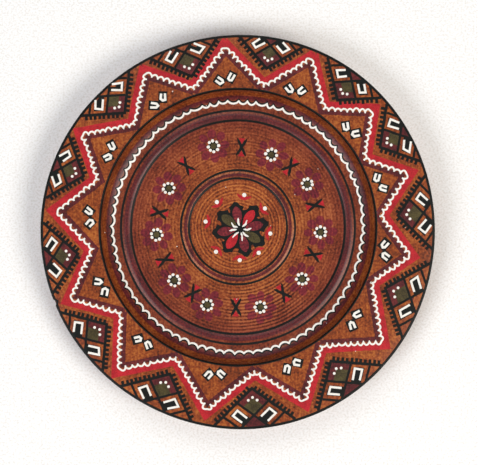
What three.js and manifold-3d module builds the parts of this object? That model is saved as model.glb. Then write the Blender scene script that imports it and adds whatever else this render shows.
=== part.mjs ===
// A turned wooden wall plate, stained and painted, with a hinged hanging ring behind it.
//
// Units are millimetres. +Z points out of the painted face and +Y towards the hanging ring,
// which is the top of the plate when it hangs. The origin is the middle of the foot ring's
// underside, on the axis that the rim and the foot were turned about. The well was turned
// after the blank had shifted in the chuck, so the face has an axis of its own.

import * as THREE from "three";
import { mergeVertices } from "three/addons/utils/BufferGeometryUtils.js";
import Module from "manifold-3d";

const wasm = await Module();
wasm.setup();

// Blank and rim
const PLATE_RADIUS = 125;
const RIM_TOP = 24;
const RIM_THICKNESS = 7;
const EDGE_ROUND = 1.2;
const UNDER_EDGE_ROUND = 2.6;
const RIM_WIDTH = 37.2;

// Face, measured from its own axis
const FACE_SHIFT_X = -0.4;
const FACE_SHIFT_Y = 2.9;
const LIP_CHAMFER = 0.8;
const COVE_WIDTH = 13.5;
const COVE_TOE = 1.2;
const BEAD_WIDTH = 6.5;
const BEAD_HEIGHT = 0.9;
const FLOOR_DISH = 2.5;
const CENTRE_RING_RADIUS = 30.9;
const CENTRE_BEAD_WIDTH = 5.4;
const CENTRE_BEAD_HEIGHT = 0.6;

// Foot and back
const FLOOR_THICKNESS = 7.5;
const RECESS_DEPTH = 5;
const FOOT_INSET = 9;
const FOOT_WIDTH = 10;
const FOOT_HEIGHT = 3;
const FOOT_CHAMFER = 0.8;
const BACK_FLAT = 4;

// Paint films
const GROUND_COAT = 0.04;
const PAINT_THICKNESS = 0.18;
const RING_LINE_WIDTH = 1.3;
const SCALLOP_RING_WIDTH = 2.2;
const COVE_STRIPE_WIDTH = 3;
const COVE_STRIPE_INSET = 3.4;
const BEAD_STRIPE_WIDTH = 2.6;
const CENTRE_STRIPE_WIDTH = 1.8;
const PAINT_SPACE = 0.25;
const EDGE_PAINT_DROP = 4.2;

// Thirteen-pointed star round the rim, uneven as the painter drew it. Each row is one point, going
// clockwise: its tip's bearing and distance in from the plate's edge, then the following valley's
// bearing and distance out from the lip. Bearings are degrees clockwise from +Y.
const STAR_POINTS = [
  [-4.1, 8.1, 10.3, 2.5],
  [22.9, 6.2, 35.8, 4.6],
  [47.8, 11.4, 61.7, 2.7],
  [71.1, 12.2, 85.4, 2.5],
  [98, 15.8, 112.4, 3.3],
  [127.6, 10.7, 145.1, 3.6],
  [158.8, 10.4, 173.5, 3.9],
  [190.2, 10.7, 205.3, 3.4],
  [221, 9.8, 233.8, 3.8],
  [248.2, 10.7, 261.3, 5.3],
  [276.5, 9.3, 288.7, 5.4],
  [302, 8.7, 314.6, 4.4],
  [329.6, 8.7, 342.2, 3.8],
];
const STAR_LINE_WIDTH = 2;
const SCARLET_WIDTH = 4;
const WINE_WIDTH = 3;

// Hanger: a folded brass strap, the ring that swings in its fold, and two screws
const RING_WIRE = 2;
const RING_CORNER = 2.5;
const RING_SIDE_PLAY = 0.5;
const RING_INNER_REACH = 11;
const STRAP_WIDTH = 9;
const STRAP_SHEET = 0.6;
const STRAP_END_MARGIN = 6;
const HINGE_CLEARANCE = 0.12;
const HANGER_FOOT_GAP = 5;
const CONTACT_GAP = 0.05;
const SCREW_SHANK = 2.4;
const SCREW_LENGTH = 6;
const SCREW_HEAD = 5;
const SCREW_HEAD_HEIGHT = 1.1;
const SCREW_SLOT_WIDTH = 0.7;
const SCREW_SLOT_DEPTH = 0.5;
const SCREW_CLEARANCE = 0.15;
const PILOT_EXTRA_DEPTH = 0.5;
const FIRST_SCREW_FROM_FOLD = 7;
const SCREW_SPACING = 10;

const TURNED_SEGMENTS = 64;
const WIRE_SEGMENTS = 10;
const ROUND_STEPS = 3;
const BEAD_STEPS = 4;
const TAU = Math.PI * 2;

// Sizes that follow from those above
const lipRadius = PLATE_RADIUS - RIM_WIDTH;
const coveFootRadius = lipRadius - COVE_WIDTH;
const beadInnerRadius = coveFootRadius - BEAD_WIDTH;
const centreBeadOuter = CENTRE_RING_RADIUS + CENTRE_BEAD_WIDTH;
const floorTop = RECESS_DEPTH + FLOOR_THICKNESS;
const wellFootTop = floorTop + FLOOR_DISH;
const footOuterRadius = coveFootRadius - FOOT_INSET;
const recessRadius = footOuterRadius - FOOT_WIDTH;

const wood = new THREE.MeshStandardMaterial({ color: 0x9a5430, roughness: 0.35, metalness: 0 });
const blackPaint = new THREE.MeshStandardMaterial({ color: 0x1d1f1c, roughness: 0.4, metalness: 0 });
const winePaint = new THREE.MeshStandardMaterial({ color: 0x5e1c26, roughness: 0.35, metalness: 0 });
const scarletPaint = new THREE.MeshStandardMaterial({ color: 0xc4262e, roughness: 0.4, metalness: 0 });
const whitePaint = new THREE.MeshStandardMaterial({ color: 0xf2efe8, roughness: 0.4, metalness: 0 });
const brass = new THREE.MeshStandardMaterial({ color: 0xb08d4a, roughness: 0.4, metalness: 1 });
const steel = new THREE.MeshStandardMaterial({ color: 0xa8a59c, roughness: 0.45, metalness: 1 });

// ---- helpers -----------------------------------------------------------------------------

function solidOf(geometry) {
  const bare = geometry.clone();
  bare.deleteAttribute("normal");
  bare.deleteAttribute("uv");
  const merged = mergeVertices(bare, 1e-4);
  return new wasm.Manifold(
    new wasm.Mesh({
      numProp: 3,
      vertProperties: new Float32Array(merged.attributes.position.array),
      triVerts: new Uint32Array(merged.index.array),
    }),
  );
}

function geometryOf(solid) {
  const mesh = solid.getMesh();
  const geometry = new THREE.BufferGeometry();
  geometry.setAttribute("position", new THREE.BufferAttribute(mesh.vertProperties, 3));
  geometry.setIndex(new THREE.BufferAttribute(mesh.triVerts, 1));
  geometry.computeVertexNormals();
  return geometry;
}

// A solid of revolution about Z from [radius, height] points that run up the outside
function turned(points) {
  const outline = points.map(([radius, height]) => new THREE.Vector2(radius, height));
  const geometry = new THREE.LatheGeometry(outline, TURNED_SEGMENTS);
  geometry.rotateX(Math.PI / 2);
  return geometry;
}

// The same, about the face's own axis
function turnedOnFace(points) {
  return turned(points).translate(FACE_SHIFT_X, FACE_SHIFT_Y, 0);
}

function prism(outline, low, high) {
  const shape = new THREE.Shape(outline);
  const geometry = new THREE.ExtrudeGeometry(shape, { depth: high - low, bevelEnabled: false });
  return geometry.translate(0, 0, low);
}

function rod(radius, low, high, x, y) {
  const geometry = new THREE.CylinderGeometry(radius, radius, high - low, WIRE_SEGMENTS * 2);
  geometry.rotateX(Math.PI / 2);
  return geometry.translate(x, y, (low + high) / 2);
}

function block(width, depth, height, x, y, z) {
  return new THREE.BoxGeometry(width, depth, height).translate(x, y, z);
}

function named(name, geometry, material) {
  const mesh = new THREE.Mesh(geometry, material);
  mesh.name = name;
  return mesh;
}

// A quarter or other arc of [radius, height] points, from one angle to another in degrees
function arc(centreRadius, centreHeight, size, from, to) {
  const points = [];
  for (let step = 0; step <= ROUND_STEPS; step += 1) {
    const angle = THREE.MathUtils.degToRad(from + ((to - from) * step) / ROUND_STEPS);
    const radius = centreRadius + size * Math.cos(angle);
    points.push([radius, centreHeight + size * Math.sin(angle)]);
  }
  return points;
}

// ---- the face ----------------------------------------------------------------------------

// The floor is a shallow dish, deepest in the middle
function dishHeight(radius) {
  return floorTop + FLOOR_DISH * (radius / coveFootRadius) ** 2;
}

function beadPoints(inner, width, height) {
  const points = [];
  for (let step = 0; step <= BEAD_STEPS; step += 1) {
    const radius = inner + (width * step) / BEAD_STEPS;
    const rise = height * Math.sin((Math.PI * step) / BEAD_STEPS);
    points.push([radius, dishHeight(radius) + rise]);
  }
  return points;
}

// A quarter of an ellipse from the toe beside the bead up to the chamfer at the lip
function covePoints() {
  const foot = coveFootRadius + COVE_TOE;
  const top = lipRadius - LIP_CHAMFER;
  const points = [];
  for (let step = 0; step <= BEAD_STEPS; step += 1) {
    const angle = (Math.PI / 2) * (step / BEAD_STEPS);
    const radius = foot + (top - foot) * Math.sin(angle);
    const rise = (RIM_TOP - LIP_CHAMFER - wellFootTop) * (1 - Math.cos(angle));
    points.push([radius, wellFootTop + rise]);
  }
  return points;
}

const facePoints = [
  [0, dishHeight(0)],
  ...beadPoints(CENTRE_RING_RADIUS, CENTRE_BEAD_WIDTH, CENTRE_BEAD_HEIGHT),
  ...beadPoints(beadInnerRadius, BEAD_WIDTH, BEAD_HEIGHT),
  ...covePoints(),
  [lipRadius, RIM_TOP],
];

function faceHeight(radius) {
  const outer = facePoints.findIndex((point) => point[0] >= radius);
  const [r1, z1] = facePoints[outer];
  if (outer === 0) return z1;
  const [r0, z0] = facePoints[outer - 1];
  return z0 + ((z1 - z0) * (radius - r0)) / (r1 - r0);
}

// A closed ring of paint that lies on the well between two radii
function filmOnWell(inner, outer) {
  const between = facePoints.filter(([radius]) => radius > inner && radius < outer);
  const under = [[inner, faceHeight(inner)], ...between, [outer, faceHeight(outer)]];
  const bottom = under.map(([radius, height]) => [radius, height + GROUND_COAT]);
  const top = bottom.map(([radius, height]) => [radius, height + PAINT_THICKNESS]);
  return turnedOnFace([...bottom, ...top.reverse(), bottom[0]]);
}

// A line that runs just inside a radius, and a stripe that is centred on one
function lineInside(radius) {
  return filmOnWell(radius - RING_LINE_WIDTH, radius);
}

function stripeAt(radius, width) {
  return filmOnWell(radius - width / 2, radius + width / 2);
}

// ---- the plate ---------------------------------------------------------------------------

function blankPoints() {
  const rimUnderside = RIM_TOP - RIM_THICKNESS;
  const back = new THREE.QuadraticBezierCurve(
    new THREE.Vector2(footOuterRadius, FOOT_HEIGHT),
    new THREE.Vector2((footOuterRadius + lipRadius) / 2 + BACK_FLAT, FOOT_HEIGHT + RIM_THICKNESS),
    new THREE.Vector2(lipRadius + BACK_FLAT, rimUnderside),
  );
  return [
    [0, RECESS_DEPTH],
    ...arc(recessRadius - FOOT_HEIGHT, RECESS_DEPTH - FOOT_HEIGHT, FOOT_HEIGHT, 90, 0),
    [recessRadius, FOOT_CHAMFER],
    [recessRadius + FOOT_CHAMFER, 0],
    [footOuterRadius - FOOT_CHAMFER, 0],
    [footOuterRadius, FOOT_CHAMFER],
    ...back.getPoints(ROUND_STEPS).map((point) => [point.x, point.y]),
    ...arc(PLATE_RADIUS - UNDER_EDGE_ROUND, rimUnderside + UNDER_EDGE_ROUND, UNDER_EDGE_ROUND, -90, 0),
    ...arc(PLATE_RADIUS - EDGE_ROUND, RIM_TOP - EDGE_ROUND, EDGE_ROUND, 0, 90),
    [0, RIM_TOP],
  ];
}

const hingeY = recessRadius - HANGER_FOOT_GAP - RING_WIRE - RING_INNER_REACH;
const screwYs = [0, 1].map((index) => hingeY - FIRST_SCREW_FROM_FOLD - SCREW_SPACING * index);
const strapTop = RECESS_DEPTH - CONTACT_GAP;
const strapUnderside = strapTop - 2 * STRAP_SHEET;
const knuckleInner = RING_WIRE / 2 + HINGE_CLEARANCE;
const hingeZ = strapTop - STRAP_SHEET - knuckleInner;
const screwTip = strapUnderside + SCREW_LENGTH;

function plateBody() {
  const above = RIM_TOP + EDGE_ROUND;
  const well = solidOf(turnedOnFace([...facePoints, [lipRadius, above], [0, above]]));
  let body = solidOf(turned(blankPoints())).subtract(well);
  for (const y of screwYs) {
    const radius = SCREW_SHANK / 2 + SCREW_CLEARANCE;
    const pilot = rod(radius, RECESS_DEPTH - 1, screwTip + PILOT_EXTRA_DEPTH, 0, y);
    body = body.subtract(solidOf(pilot));
  }
  return geometryOf(body);
}

// ---- the painted star --------------------------------------------------------------------

function atBearing(bearing, radius, centreX, centreY) {
  const angle = THREE.MathUtils.degToRad(bearing);
  return new THREE.Vector2(
    centreX + radius * Math.sin(angle),
    centreY + radius * Math.cos(angle),
  );
}

// The zigzag runs clockwise: its tips are set from the rim's edge, and its valleys from the lip
function starLine() {
  const points = [];
  STAR_POINTS.forEach(([tip, fromEdge, valley, fromLip]) => {
    points.push(atBearing(tip, PLATE_RADIUS - fromEdge, 0, 0));
    points.push(atBearing(valley, lipRadius + fromLip, FACE_SHIFT_X, FACE_SHIFT_Y));
  });
  return points;
}

// The same zigzag moved sideways, outwards when distance is positive, with mitred corners
function movedOut(points, distance) {
  const count = points.length;
  return points.map((point, index) => {
    const before = points[(index + count - 1) % count];
    const after = points[(index + 1) % count];
    const into = point.clone().sub(before).normalize();
    const away = after.clone().sub(point).normalize();
    const normalIn = new THREE.Vector2(-into.y, into.x);
    const normalAway = new THREE.Vector2(-away.y, away.x);
    const mitre = normalIn.add(normalAway).normalize();
    const reach = distance / Math.abs(mitre.dot(new THREE.Vector2(-into.y, into.x)));
    return point.clone().addScaledVector(mitre, reach);
  });
}

// A band of paint on the rim between two offsets from the star's line, kept on the flat
function starBand(innerOffset, outerOffset) {
  const low = RIM_TOP + GROUND_COAT;
  const high = low + PAINT_THICKNESS;
  const line = starLine();
  const outer = solidOf(prism(movedOut(line, outerOffset), low, high));
  const inner = solidOf(prism(movedOut(line, innerOffset), low - 1, high + 1));
  const flatRadius = PLATE_RADIUS - EDGE_ROUND;
  const flat = solidOf(turned([[0, low - 1], [flatRadius, low - 1], [flatRadius, high + 1], [0, high + 1]]));
  return geometryOf(outer.subtract(inner).intersect(flat));
}

// Black paint that wraps the rim's rounded edge
function edgePaint() {
  const skin = (gap) => {
    const round = EDGE_ROUND + gap;
    const lowest = RIM_TOP - EDGE_PAINT_DROP;
    const top = arc(PLATE_RADIUS - EDGE_ROUND, RIM_TOP - EDGE_ROUND, round, 0, 90);
    return [[PLATE_RADIUS + gap, lowest], ...top];
  };
  const under = skin(GROUND_COAT);
  const over = skin(GROUND_COAT + PAINT_THICKNESS);
  return turned([...over, ...under.reverse(), over[0]]);
}

// ---- the hanger --------------------------------------------------------------------------

// Two leaves of one strap, folded round the straight side of the ring
function hangerStrap() {
  const outerRadius = knuckleInner + STRAP_SHEET;
  const end = screwYs.at(-1) - STRAP_END_MARGIN;
  const outline = new THREE.Shape();
  outline.moveTo(end, strapTop);
  outline.lineTo(hingeY, strapTop);
  outline.absarc(hingeY, hingeZ, outerRadius, Math.PI / 2, -Math.PI / 2, true);
  outline.lineTo(hingeY - outerRadius, hingeZ - outerRadius);
  outline.lineTo(hingeY - 2 * outerRadius, strapUnderside);
  outline.lineTo(end, strapUnderside);
  const geometry = new THREE.ExtrudeGeometry(outline, {
    depth: STRAP_WIDTH,
    bevelEnabled: false,
    curveSegments: ROUND_STEPS * 2,
  });
  geometry.applyMatrix4(
    new THREE.Matrix4().makeBasis(
      new THREE.Vector3(0, 1, 0),
      new THREE.Vector3(0, 0, 1),
      new THREE.Vector3(1, 0, 0),
    ),
  );
  geometry.translate(-STRAP_WIDTH / 2, 0, 0);
  const eye = new THREE.CylinderGeometry(knuckleInner, knuckleInner, STRAP_WIDTH * 2, WIRE_SEGMENTS * 2);
  eye.rotateZ(Math.PI / 2);
  eye.translate(0, hingeY, hingeZ);
  let strap = solidOf(geometry).subtract(solidOf(eye));
  for (const y of screwYs) {
    const hole = rod(SCREW_SHANK / 2 + SCREW_CLEARANCE, 0, RECESS_DEPTH, 0, y);
    strap = strap.subtract(solidOf(hole));
  }
  return geometryOf(strap);
}

// The ring is one loop of wire: a straight side in the fold, and a round bow beyond it
function hangerRing() {
  const corner = RING_CORNER;
  const half = STRAP_WIDTH / 2 + RING_SIDE_PLAY + corner;
  const reach = RING_INNER_REACH + RING_WIRE;
  const route = new THREE.Path();
  route.moveTo(0, 0);
  route.lineTo(half - corner, 0);
  route.absarc(half - corner, corner, corner, -Math.PI / 2, 0, false);
  route.lineTo(half, reach - half);
  route.absarc(0, reach - half, half, 0, Math.PI, false);
  route.lineTo(-half, corner);
  route.absarc(-half + corner, corner, corner, Math.PI, Math.PI * 1.5, false);
  route.closePath();
  const flat = route.getPoints(ROUND_STEPS);
  const apart = flat.filter((point, index) => point.distanceTo(flat.at(index - 1)) > CONTACT_GAP);
  const loop = apart.map((point) => new THREE.Vector3(point.x, point.y, 0));
  return wireLoop(loop, RING_WIRE / 2).translate(0, hingeY, hingeZ);
}

// A closed tube of wire round a flat loop of points, mitred at each point
function wireLoop(loop, radius) {
  const positions = [];
  const indices = [];
  const up = new THREE.Vector3(0, 0, 1);
  loop.forEach((point, index) => {
    const before = loop[(index + loop.length - 1) % loop.length];
    const after = loop[(index + 1) % loop.length];
    const into = point.clone().sub(before).normalize();
    const away = after.clone().sub(point).normalize();
    const outward = into.clone().add(away).normalize().cross(up);
    const stretch = 1 / Math.sqrt((1 + into.dot(away)) / 2);
    for (let side = 0; side < WIRE_SEGMENTS; side += 1) {
      const angle = (TAU * side) / WIRE_SEGMENTS;
      const spot = point.clone().addScaledVector(outward, radius * stretch * Math.cos(angle));
      spot.addScaledVector(up, radius * Math.sin(angle));
      positions.push(spot.x, spot.y, spot.z);
      const nextSide = (side + 1) % WIRE_SEGMENTS;
      const here = index * WIRE_SEGMENTS;
      const next = ((index + 1) % loop.length) * WIRE_SEGMENTS;
      indices.push(here + side, next + side, next + nextSide);
      indices.push(here + side, next + nextSide, here + nextSide);
    }
  });
  const geometry = new THREE.BufferGeometry();
  geometry.setAttribute("position", new THREE.Float32BufferAttribute(positions, 3));
  geometry.setIndex(indices);
  geometry.computeVertexNormals();
  return geometry;
}

function screw(y) {
  const headTop = strapUnderside - CONTACT_GAP;
  const headLow = headTop - SCREW_HEAD_HEIGHT;
  const head = SCREW_HEAD / 2;
  const shank = SCREW_SHANK / 2;
  const outline = [
    [0, headLow],
    [head * 0.7, headLow],
    [head, headLow + SCREW_HEAD_HEIGHT * 0.55],
    [head, headTop],
    [shank, headTop],
    [shank, screwTip - SCREW_SHANK],
    [0, screwTip],
  ].map(([radius, height]) => new THREE.Vector2(radius, height));
  const geometry = new THREE.LatheGeometry(outline, WIRE_SEGMENTS * 2);
  geometry.rotateX(Math.PI / 2);
  const slot = block(SCREW_HEAD * 2, SCREW_SLOT_WIDTH, SCREW_SLOT_DEPTH * 2, 0, 0, headLow);
  return geometryOf(solidOf(geometry).subtract(solidOf(slot))).translate(0, y, 0);
}

// ---- assembly ----------------------------------------------------------------------------

const coveStripeRadius = lipRadius - COVE_STRIPE_INSET - COVE_STRIPE_WIDTH / 2;
const scallopOuter = coveStripeRadius - COVE_STRIPE_WIDTH / 2 - PAINT_SPACE;
const scallopRadius = scallopOuter - SCALLOP_RING_WIDTH / 2;
const beadMiddle = beadInnerRadius + BEAD_WIDTH / 2;
const centreStripeOuter = centreBeadOuter - RING_LINE_WIDTH - PAINT_SPACE;
const centreStripeRadius = centreStripeOuter - CENTRE_STRIPE_WIDTH / 2;
const halfLine = STAR_LINE_WIDTH / 2;
const starClear = halfLine + PAINT_SPACE;

const plate = new THREE.Group();
plate.add(
  named("plate_body", plateBody(), wood),
  named("black_edge_band", edgePaint(), blackPaint),
  named("scarlet_star_band", starBand(starClear, starClear + SCARLET_WIDTH), scarletPaint),
  named("white_star_line", starBand(-halfLine, halfLine), whitePaint),
  named("wine_star_band", starBand(-starClear - WINE_WIDTH, -starClear), winePaint),
  named("black_ring_lip", lineInside(lipRadius - LIP_CHAMFER), blackPaint),
  named("wine_stripe_cove", stripeAt(coveStripeRadius, COVE_STRIPE_WIDTH), winePaint),
  named("white_scallop_ring", stripeAt(scallopRadius, SCALLOP_RING_WIDTH), whitePaint),
  named("black_ring_cove_foot", lineInside(coveFootRadius), blackPaint),
  named("wine_stripe_bead", stripeAt(beadMiddle, BEAD_STRIPE_WIDTH), winePaint),
  named("black_ring_well", lineInside(beadInnerRadius), blackPaint),
  named("black_ring_centre_outer", lineInside(centreBeadOuter), blackPaint),
  named("wine_stripe_centre", stripeAt(centreStripeRadius, CENTRE_STRIPE_WIDTH), winePaint),
  named("black_ring_centre_inner", lineInside(CENTRE_RING_RADIUS), blackPaint),
  named("hanger_strap", hangerStrap(), brass),
  named("hanger_ring", hangerRing(), steel),
);
screwYs.forEach((y, index) => {
  plate.add(named(`hanger_screw_${index + 1}`, screw(y), steel));
});

export default plate;
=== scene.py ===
# %% [markdown]
# # A turned and painted wooden wall plate
# The plate is one board, turned on a lathe, stained orange-brown, painted with a fine brush and
# varnished. This lesson builds it in the order a maker works: the turned wood first, then each
# coat of paint, then the hanger behind. Everything sits in one shared frame, in metres, and the
# main sizes are read from that frame, so nothing has to be fitted afterwards.

# %% Load the frame and measure it
import math
import random

import bmesh
import bpy
from mathutils import Matrix, Vector, noise


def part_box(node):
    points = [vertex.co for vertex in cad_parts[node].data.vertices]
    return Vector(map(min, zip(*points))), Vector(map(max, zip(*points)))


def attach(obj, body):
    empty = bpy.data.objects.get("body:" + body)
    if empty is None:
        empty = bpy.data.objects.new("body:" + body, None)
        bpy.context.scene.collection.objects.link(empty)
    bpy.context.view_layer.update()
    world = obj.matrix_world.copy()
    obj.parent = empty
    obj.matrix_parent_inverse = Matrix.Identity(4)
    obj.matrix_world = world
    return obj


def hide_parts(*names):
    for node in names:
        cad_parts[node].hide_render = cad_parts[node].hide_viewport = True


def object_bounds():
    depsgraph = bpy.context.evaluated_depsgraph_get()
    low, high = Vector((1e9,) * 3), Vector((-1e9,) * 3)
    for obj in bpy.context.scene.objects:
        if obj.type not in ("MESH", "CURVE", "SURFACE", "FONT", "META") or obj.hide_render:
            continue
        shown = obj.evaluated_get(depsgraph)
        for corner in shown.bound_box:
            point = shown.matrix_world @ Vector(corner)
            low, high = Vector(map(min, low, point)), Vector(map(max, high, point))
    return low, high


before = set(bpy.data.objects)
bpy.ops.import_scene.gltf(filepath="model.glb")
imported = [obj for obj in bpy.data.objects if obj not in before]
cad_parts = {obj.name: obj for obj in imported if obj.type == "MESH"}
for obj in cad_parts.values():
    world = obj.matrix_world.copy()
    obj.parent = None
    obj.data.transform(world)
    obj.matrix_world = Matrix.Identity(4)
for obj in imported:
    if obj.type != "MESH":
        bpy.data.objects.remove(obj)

MM = 0.001
cad_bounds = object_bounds()
_, body_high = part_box("plate_body")
PLATE_RADIUS = body_high[0]
RIM_TOP = body_high[2]
print("plate radius", round(PLATE_RADIUS, 4), "rim height", round(RIM_TOP, 4))


# %% [markdown]
# The rim and foot were turned about one axis and the well about another, a few millimetres away,
# because the blank shifted when it was turned round in the chuck. The painted rings in the frame
# give both the well's centre and the radius of each step in it.

# %% Find the well's own axis and its radii
def ring_radius(node):
    low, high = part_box(node)
    return (high[0] - low[0]) / 2


LIP_CHAMFER = 0.8 * MM
low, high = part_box("black_ring_well")
FACE_X = (low[0] + high[0]) / 2
FACE_Y = (low[1] + high[1]) / 2
LIP = ring_radius("black_ring_lip") + LIP_CHAMFER
COVE_FOOT = ring_radius("black_ring_cove_foot")
BEAD_INNER = ring_radius("black_ring_well")
CENTRE_OUTER = ring_radius("black_ring_centre_outer")
CENTRE_INNER = ring_radius("black_ring_centre_inner")
print("well axis at", round(FACE_X / MM, 2), round(FACE_Y / MM, 2), "mm")
print("lip at", round(LIP / MM, 1), "mm from that axis")

# %% [markdown]
# The shape of the face is a formula of the distance from its axis: a shallow dish, two low beads,
# a hollow cove and a flat rim. One function gives the height anywhere, and both the wood and
# every brush stroke use it, so paint always lies on the wood.

# %% The height of the face
FLOOR_HEIGHT = 12.5 * MM
FLOOR_DISH = 2.5 * MM
BEAD_HEIGHT = 0.9 * MM
CENTRE_BEAD_HEIGHT = 0.6 * MM
COVE_TOE = 1.2 * MM
EDGE_ROUND = 1.2 * MM
FACE = Vector((FACE_X, FACE_Y, 0))
print("the well's floor is", round((RIM_TOP - FLOOR_HEIGHT) / MM, 1), "mm below the rim")

# %% [markdown]
# Three small functions make up that formula. A bead is half a sine wave. The gouge leaves a fine
# spiral of ridges, deepest in the middle of the well. The cove is a quarter of an ellipse.

# %% Beads, tool marks and the whole face
TOOL_PITCH = 2.1 * MM
TOOL_DEPTH = 0.05 * MM
CENTRE_DEPTH = 1.8


def bead(radius, inner, outer, height):
    if radius <= inner or radius >= outer:
        return 0.0
    return height * math.sin(math.pi * (radius - inner) / (outer - inner))


def tool_marks(radius):
    if radius > BEAD_INNER:
        return 0.0
    wander = noise.noise(Vector((radius / TOOL_PITCH * 0.9, 3.1, 0)))
    depth = TOOL_DEPTH * (0.75 + 0.5 * wander)
    if radius < CENTRE_INNER:
        depth *= CENTRE_DEPTH
    return depth * abs(math.sin(math.pi * radius / TOOL_PITCH + wander))


def face_height(radius):
    if radius >= LIP:
        return RIM_TOP
    dish = FLOOR_HEIGHT + FLOOR_DISH * (min(radius, COVE_FOOT) / COVE_FOOT) ** 2
    if radius > LIP - LIP_CHAMFER:
        return RIM_TOP - (LIP - radius)
    toe = COVE_FOOT + COVE_TOE
    if radius > toe:
        across = (radius - toe) / (LIP - LIP_CHAMFER - toe)
        rise = 1 - math.sqrt(max(0.0, 1 - across * across))
        return dish + (RIM_TOP - LIP_CHAMFER - dish) * rise
    dish += bead(radius, BEAD_INNER, COVE_FOOT, BEAD_HEIGHT)
    dish += bead(radius, CENTRE_INNER, CENTRE_OUTER, CENTRE_BEAD_HEIGHT)
    return dish + tool_marks(radius)


def height_at(x, y):
    """The wood's surface under any point of the face, with the rounded arris at the rim."""
    on_face = math.hypot(x - FACE_X, y - FACE_Y)
    if on_face < LIP:
        return face_height(on_face)
    beyond = math.hypot(x, y) / edge_growth(x, y) - (PLATE_RADIUS - EDGE_ROUND)
    if beyond <= 0:
        return RIM_TOP
    beyond = min(beyond, EDGE_ROUND)
    return RIM_TOP - EDGE_ROUND + math.sqrt(EDGE_ROUND ** 2 - beyond ** 2)


print("height of the middle", round(face_height(0) / MM, 2), "mm")

# %% [markdown]
# Hand work is never quite round. The edge swells and dips by a few tenths of a millimetre, three
# times in a turn, and a small chip is missing on the left side. Bearings are degrees clockwise
# from the top of the plate, as a painter would number them going round.

# %% Out-of-round edge and its chip
SWELL = 0.6 * MM
SWELL_BEARING = 36
SWELLS = 3
CHIP_BEARING = 249
CHIP_HALF_ANGLE = 1.1
CHIP_DEPTH = 1.3 * MM
CHIP_HEIGHT = 4.5 * MM


def spot(bearing, radius, centre=(0.0, 0.0)):
    angle = math.radians(bearing)
    return Vector((centre[0] + radius * math.sin(angle), centre[1] + radius * math.cos(angle)))


def bearing_of(x, y):
    return math.degrees(math.atan2(x, y)) % 360


def edge_growth(x, y):
    """How much larger than true the plate is in this direction."""
    bearing = bearing_of(x, y)
    swell = SWELL * math.cos(math.radians(SWELLS * (bearing - SWELL_BEARING)))
    return 1 + swell / PLATE_RADIUS


def chip_at(x, y):
    away = abs(bearing_of(x, y) - CHIP_BEARING)
    return CHIP_DEPTH * max(0.0, 1 - away / CHIP_HALF_ANGLE)


print("edge swells by", SWELL / MM, "mm; chip", CHIP_DEPTH / MM, "mm deep")


# %% [markdown]
# A finished piece is a bmesh made into an object. The same small function gives it its name, its
# material and the body it moves with.

# %% Turn a bmesh into a piece
CREASE = math.radians(38)


def finish_piece(name, bm, material, body="plate", smooth=True):
    bmesh.ops.remove_doubles(bm, verts=bm.verts, dist=1e-7)
    bmesh.ops.recalc_face_normals(bm, faces=bm.faces)
    for face in bm.faces:
        face.smooth = smooth
    for edge in bm.edges:
        edge.smooth = edge.calc_face_angle(0) < CREASE
    mesh = bpy.data.meshes.new(name)
    bm.to_mesh(mesh)
    bm.free()
    piece = bpy.data.objects.new(name, mesh)
    bpy.context.scene.collection.objects.link(piece)
    mesh.materials.append(material)
    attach(piece, body)
    print(name, len(mesh.polygons), "faces")
    return piece


# %% [markdown]
# ## Materials
# Colours are written as sRGB hex, the way a paint chart gives them, and one function turns them
# to the linear values that the shader needs. One more adds a node with its settings and links.

# %% Colour and node helpers
def linear(hex_colour, alpha=1.0):
    channels = [int(hex_colour[i:i + 2], 16) / 255 for i in (0, 2, 4)]
    values = [c / 12.92 if c <= 0.04045 else ((c + 0.055) / 1.055) ** 2.4 for c in channels]
    return (*values, alpha)


def add(tree, kind, settings=None, **inputs):
    node = tree.nodes.new(kind)
    for key, value in (settings or {}).items():
        setattr(node, key, value)
    for key, value in inputs.items():
        socket = node.inputs[int(key[1:])] if key[0] == "i" and key[1:].isdigit() else node.inputs[key]
        if isinstance(value, bpy.types.NodeSocket):
            tree.links.new(value, socket)
        else:
            socket.default_value = value
    return node


def new_material(name):
    material = bpy.data.materials.new(name)
    material.use_nodes = True
    tree = material.node_tree
    shader = tree.nodes["Principled BSDF"]
    return material, tree, shader


def colour_steps(tree, factor, *steps):
    """A colour ramp with named stops: pairs of position and sRGB hex."""
    ramp = add(tree, "ShaderNodeValToRGB", i0=factor)
    stops = ramp.color_ramp.elements
    while len(stops) < len(steps):
        stops.new(0.5)
    for stop, (position, colour) in zip(stops, steps):
        stop.position = position
        stop.color = linear(colour)
    return ramp.outputs["Color"]


print("mid grey 808080 is", round(linear("808080")[0], 3), "in linear light")

# %% [markdown]
# ### Stained and varnished wood
# The board was brushed with orange-brown spirit stain and varnished. Four things show: long grain
# streaks across the board, dark rings where stain pooled in the tool marks, soft clouds where it
# soaked in unevenly, and the clear gloss coat on top. The grain reads Object coordinates, which
# are metres here, so each scale is one over a real size. The rings follow the distance from the
# well's axis. The same recipe, with other stain colours, makes the wine stripes and petals.

# %% Grain, clouds, specks and knots
GRAIN_WIDTH = 1.1 * MM
GRAIN_LENGTH = 26 * MM
CLOUD_SIZE = 17 * MM
SPECK_SIZE = 1.3 * MM
KNOT_SPACING = 24 * MM
KNOT_DARKNESS = -0.35
BOARD_ANGLE = math.radians(12)


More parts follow.
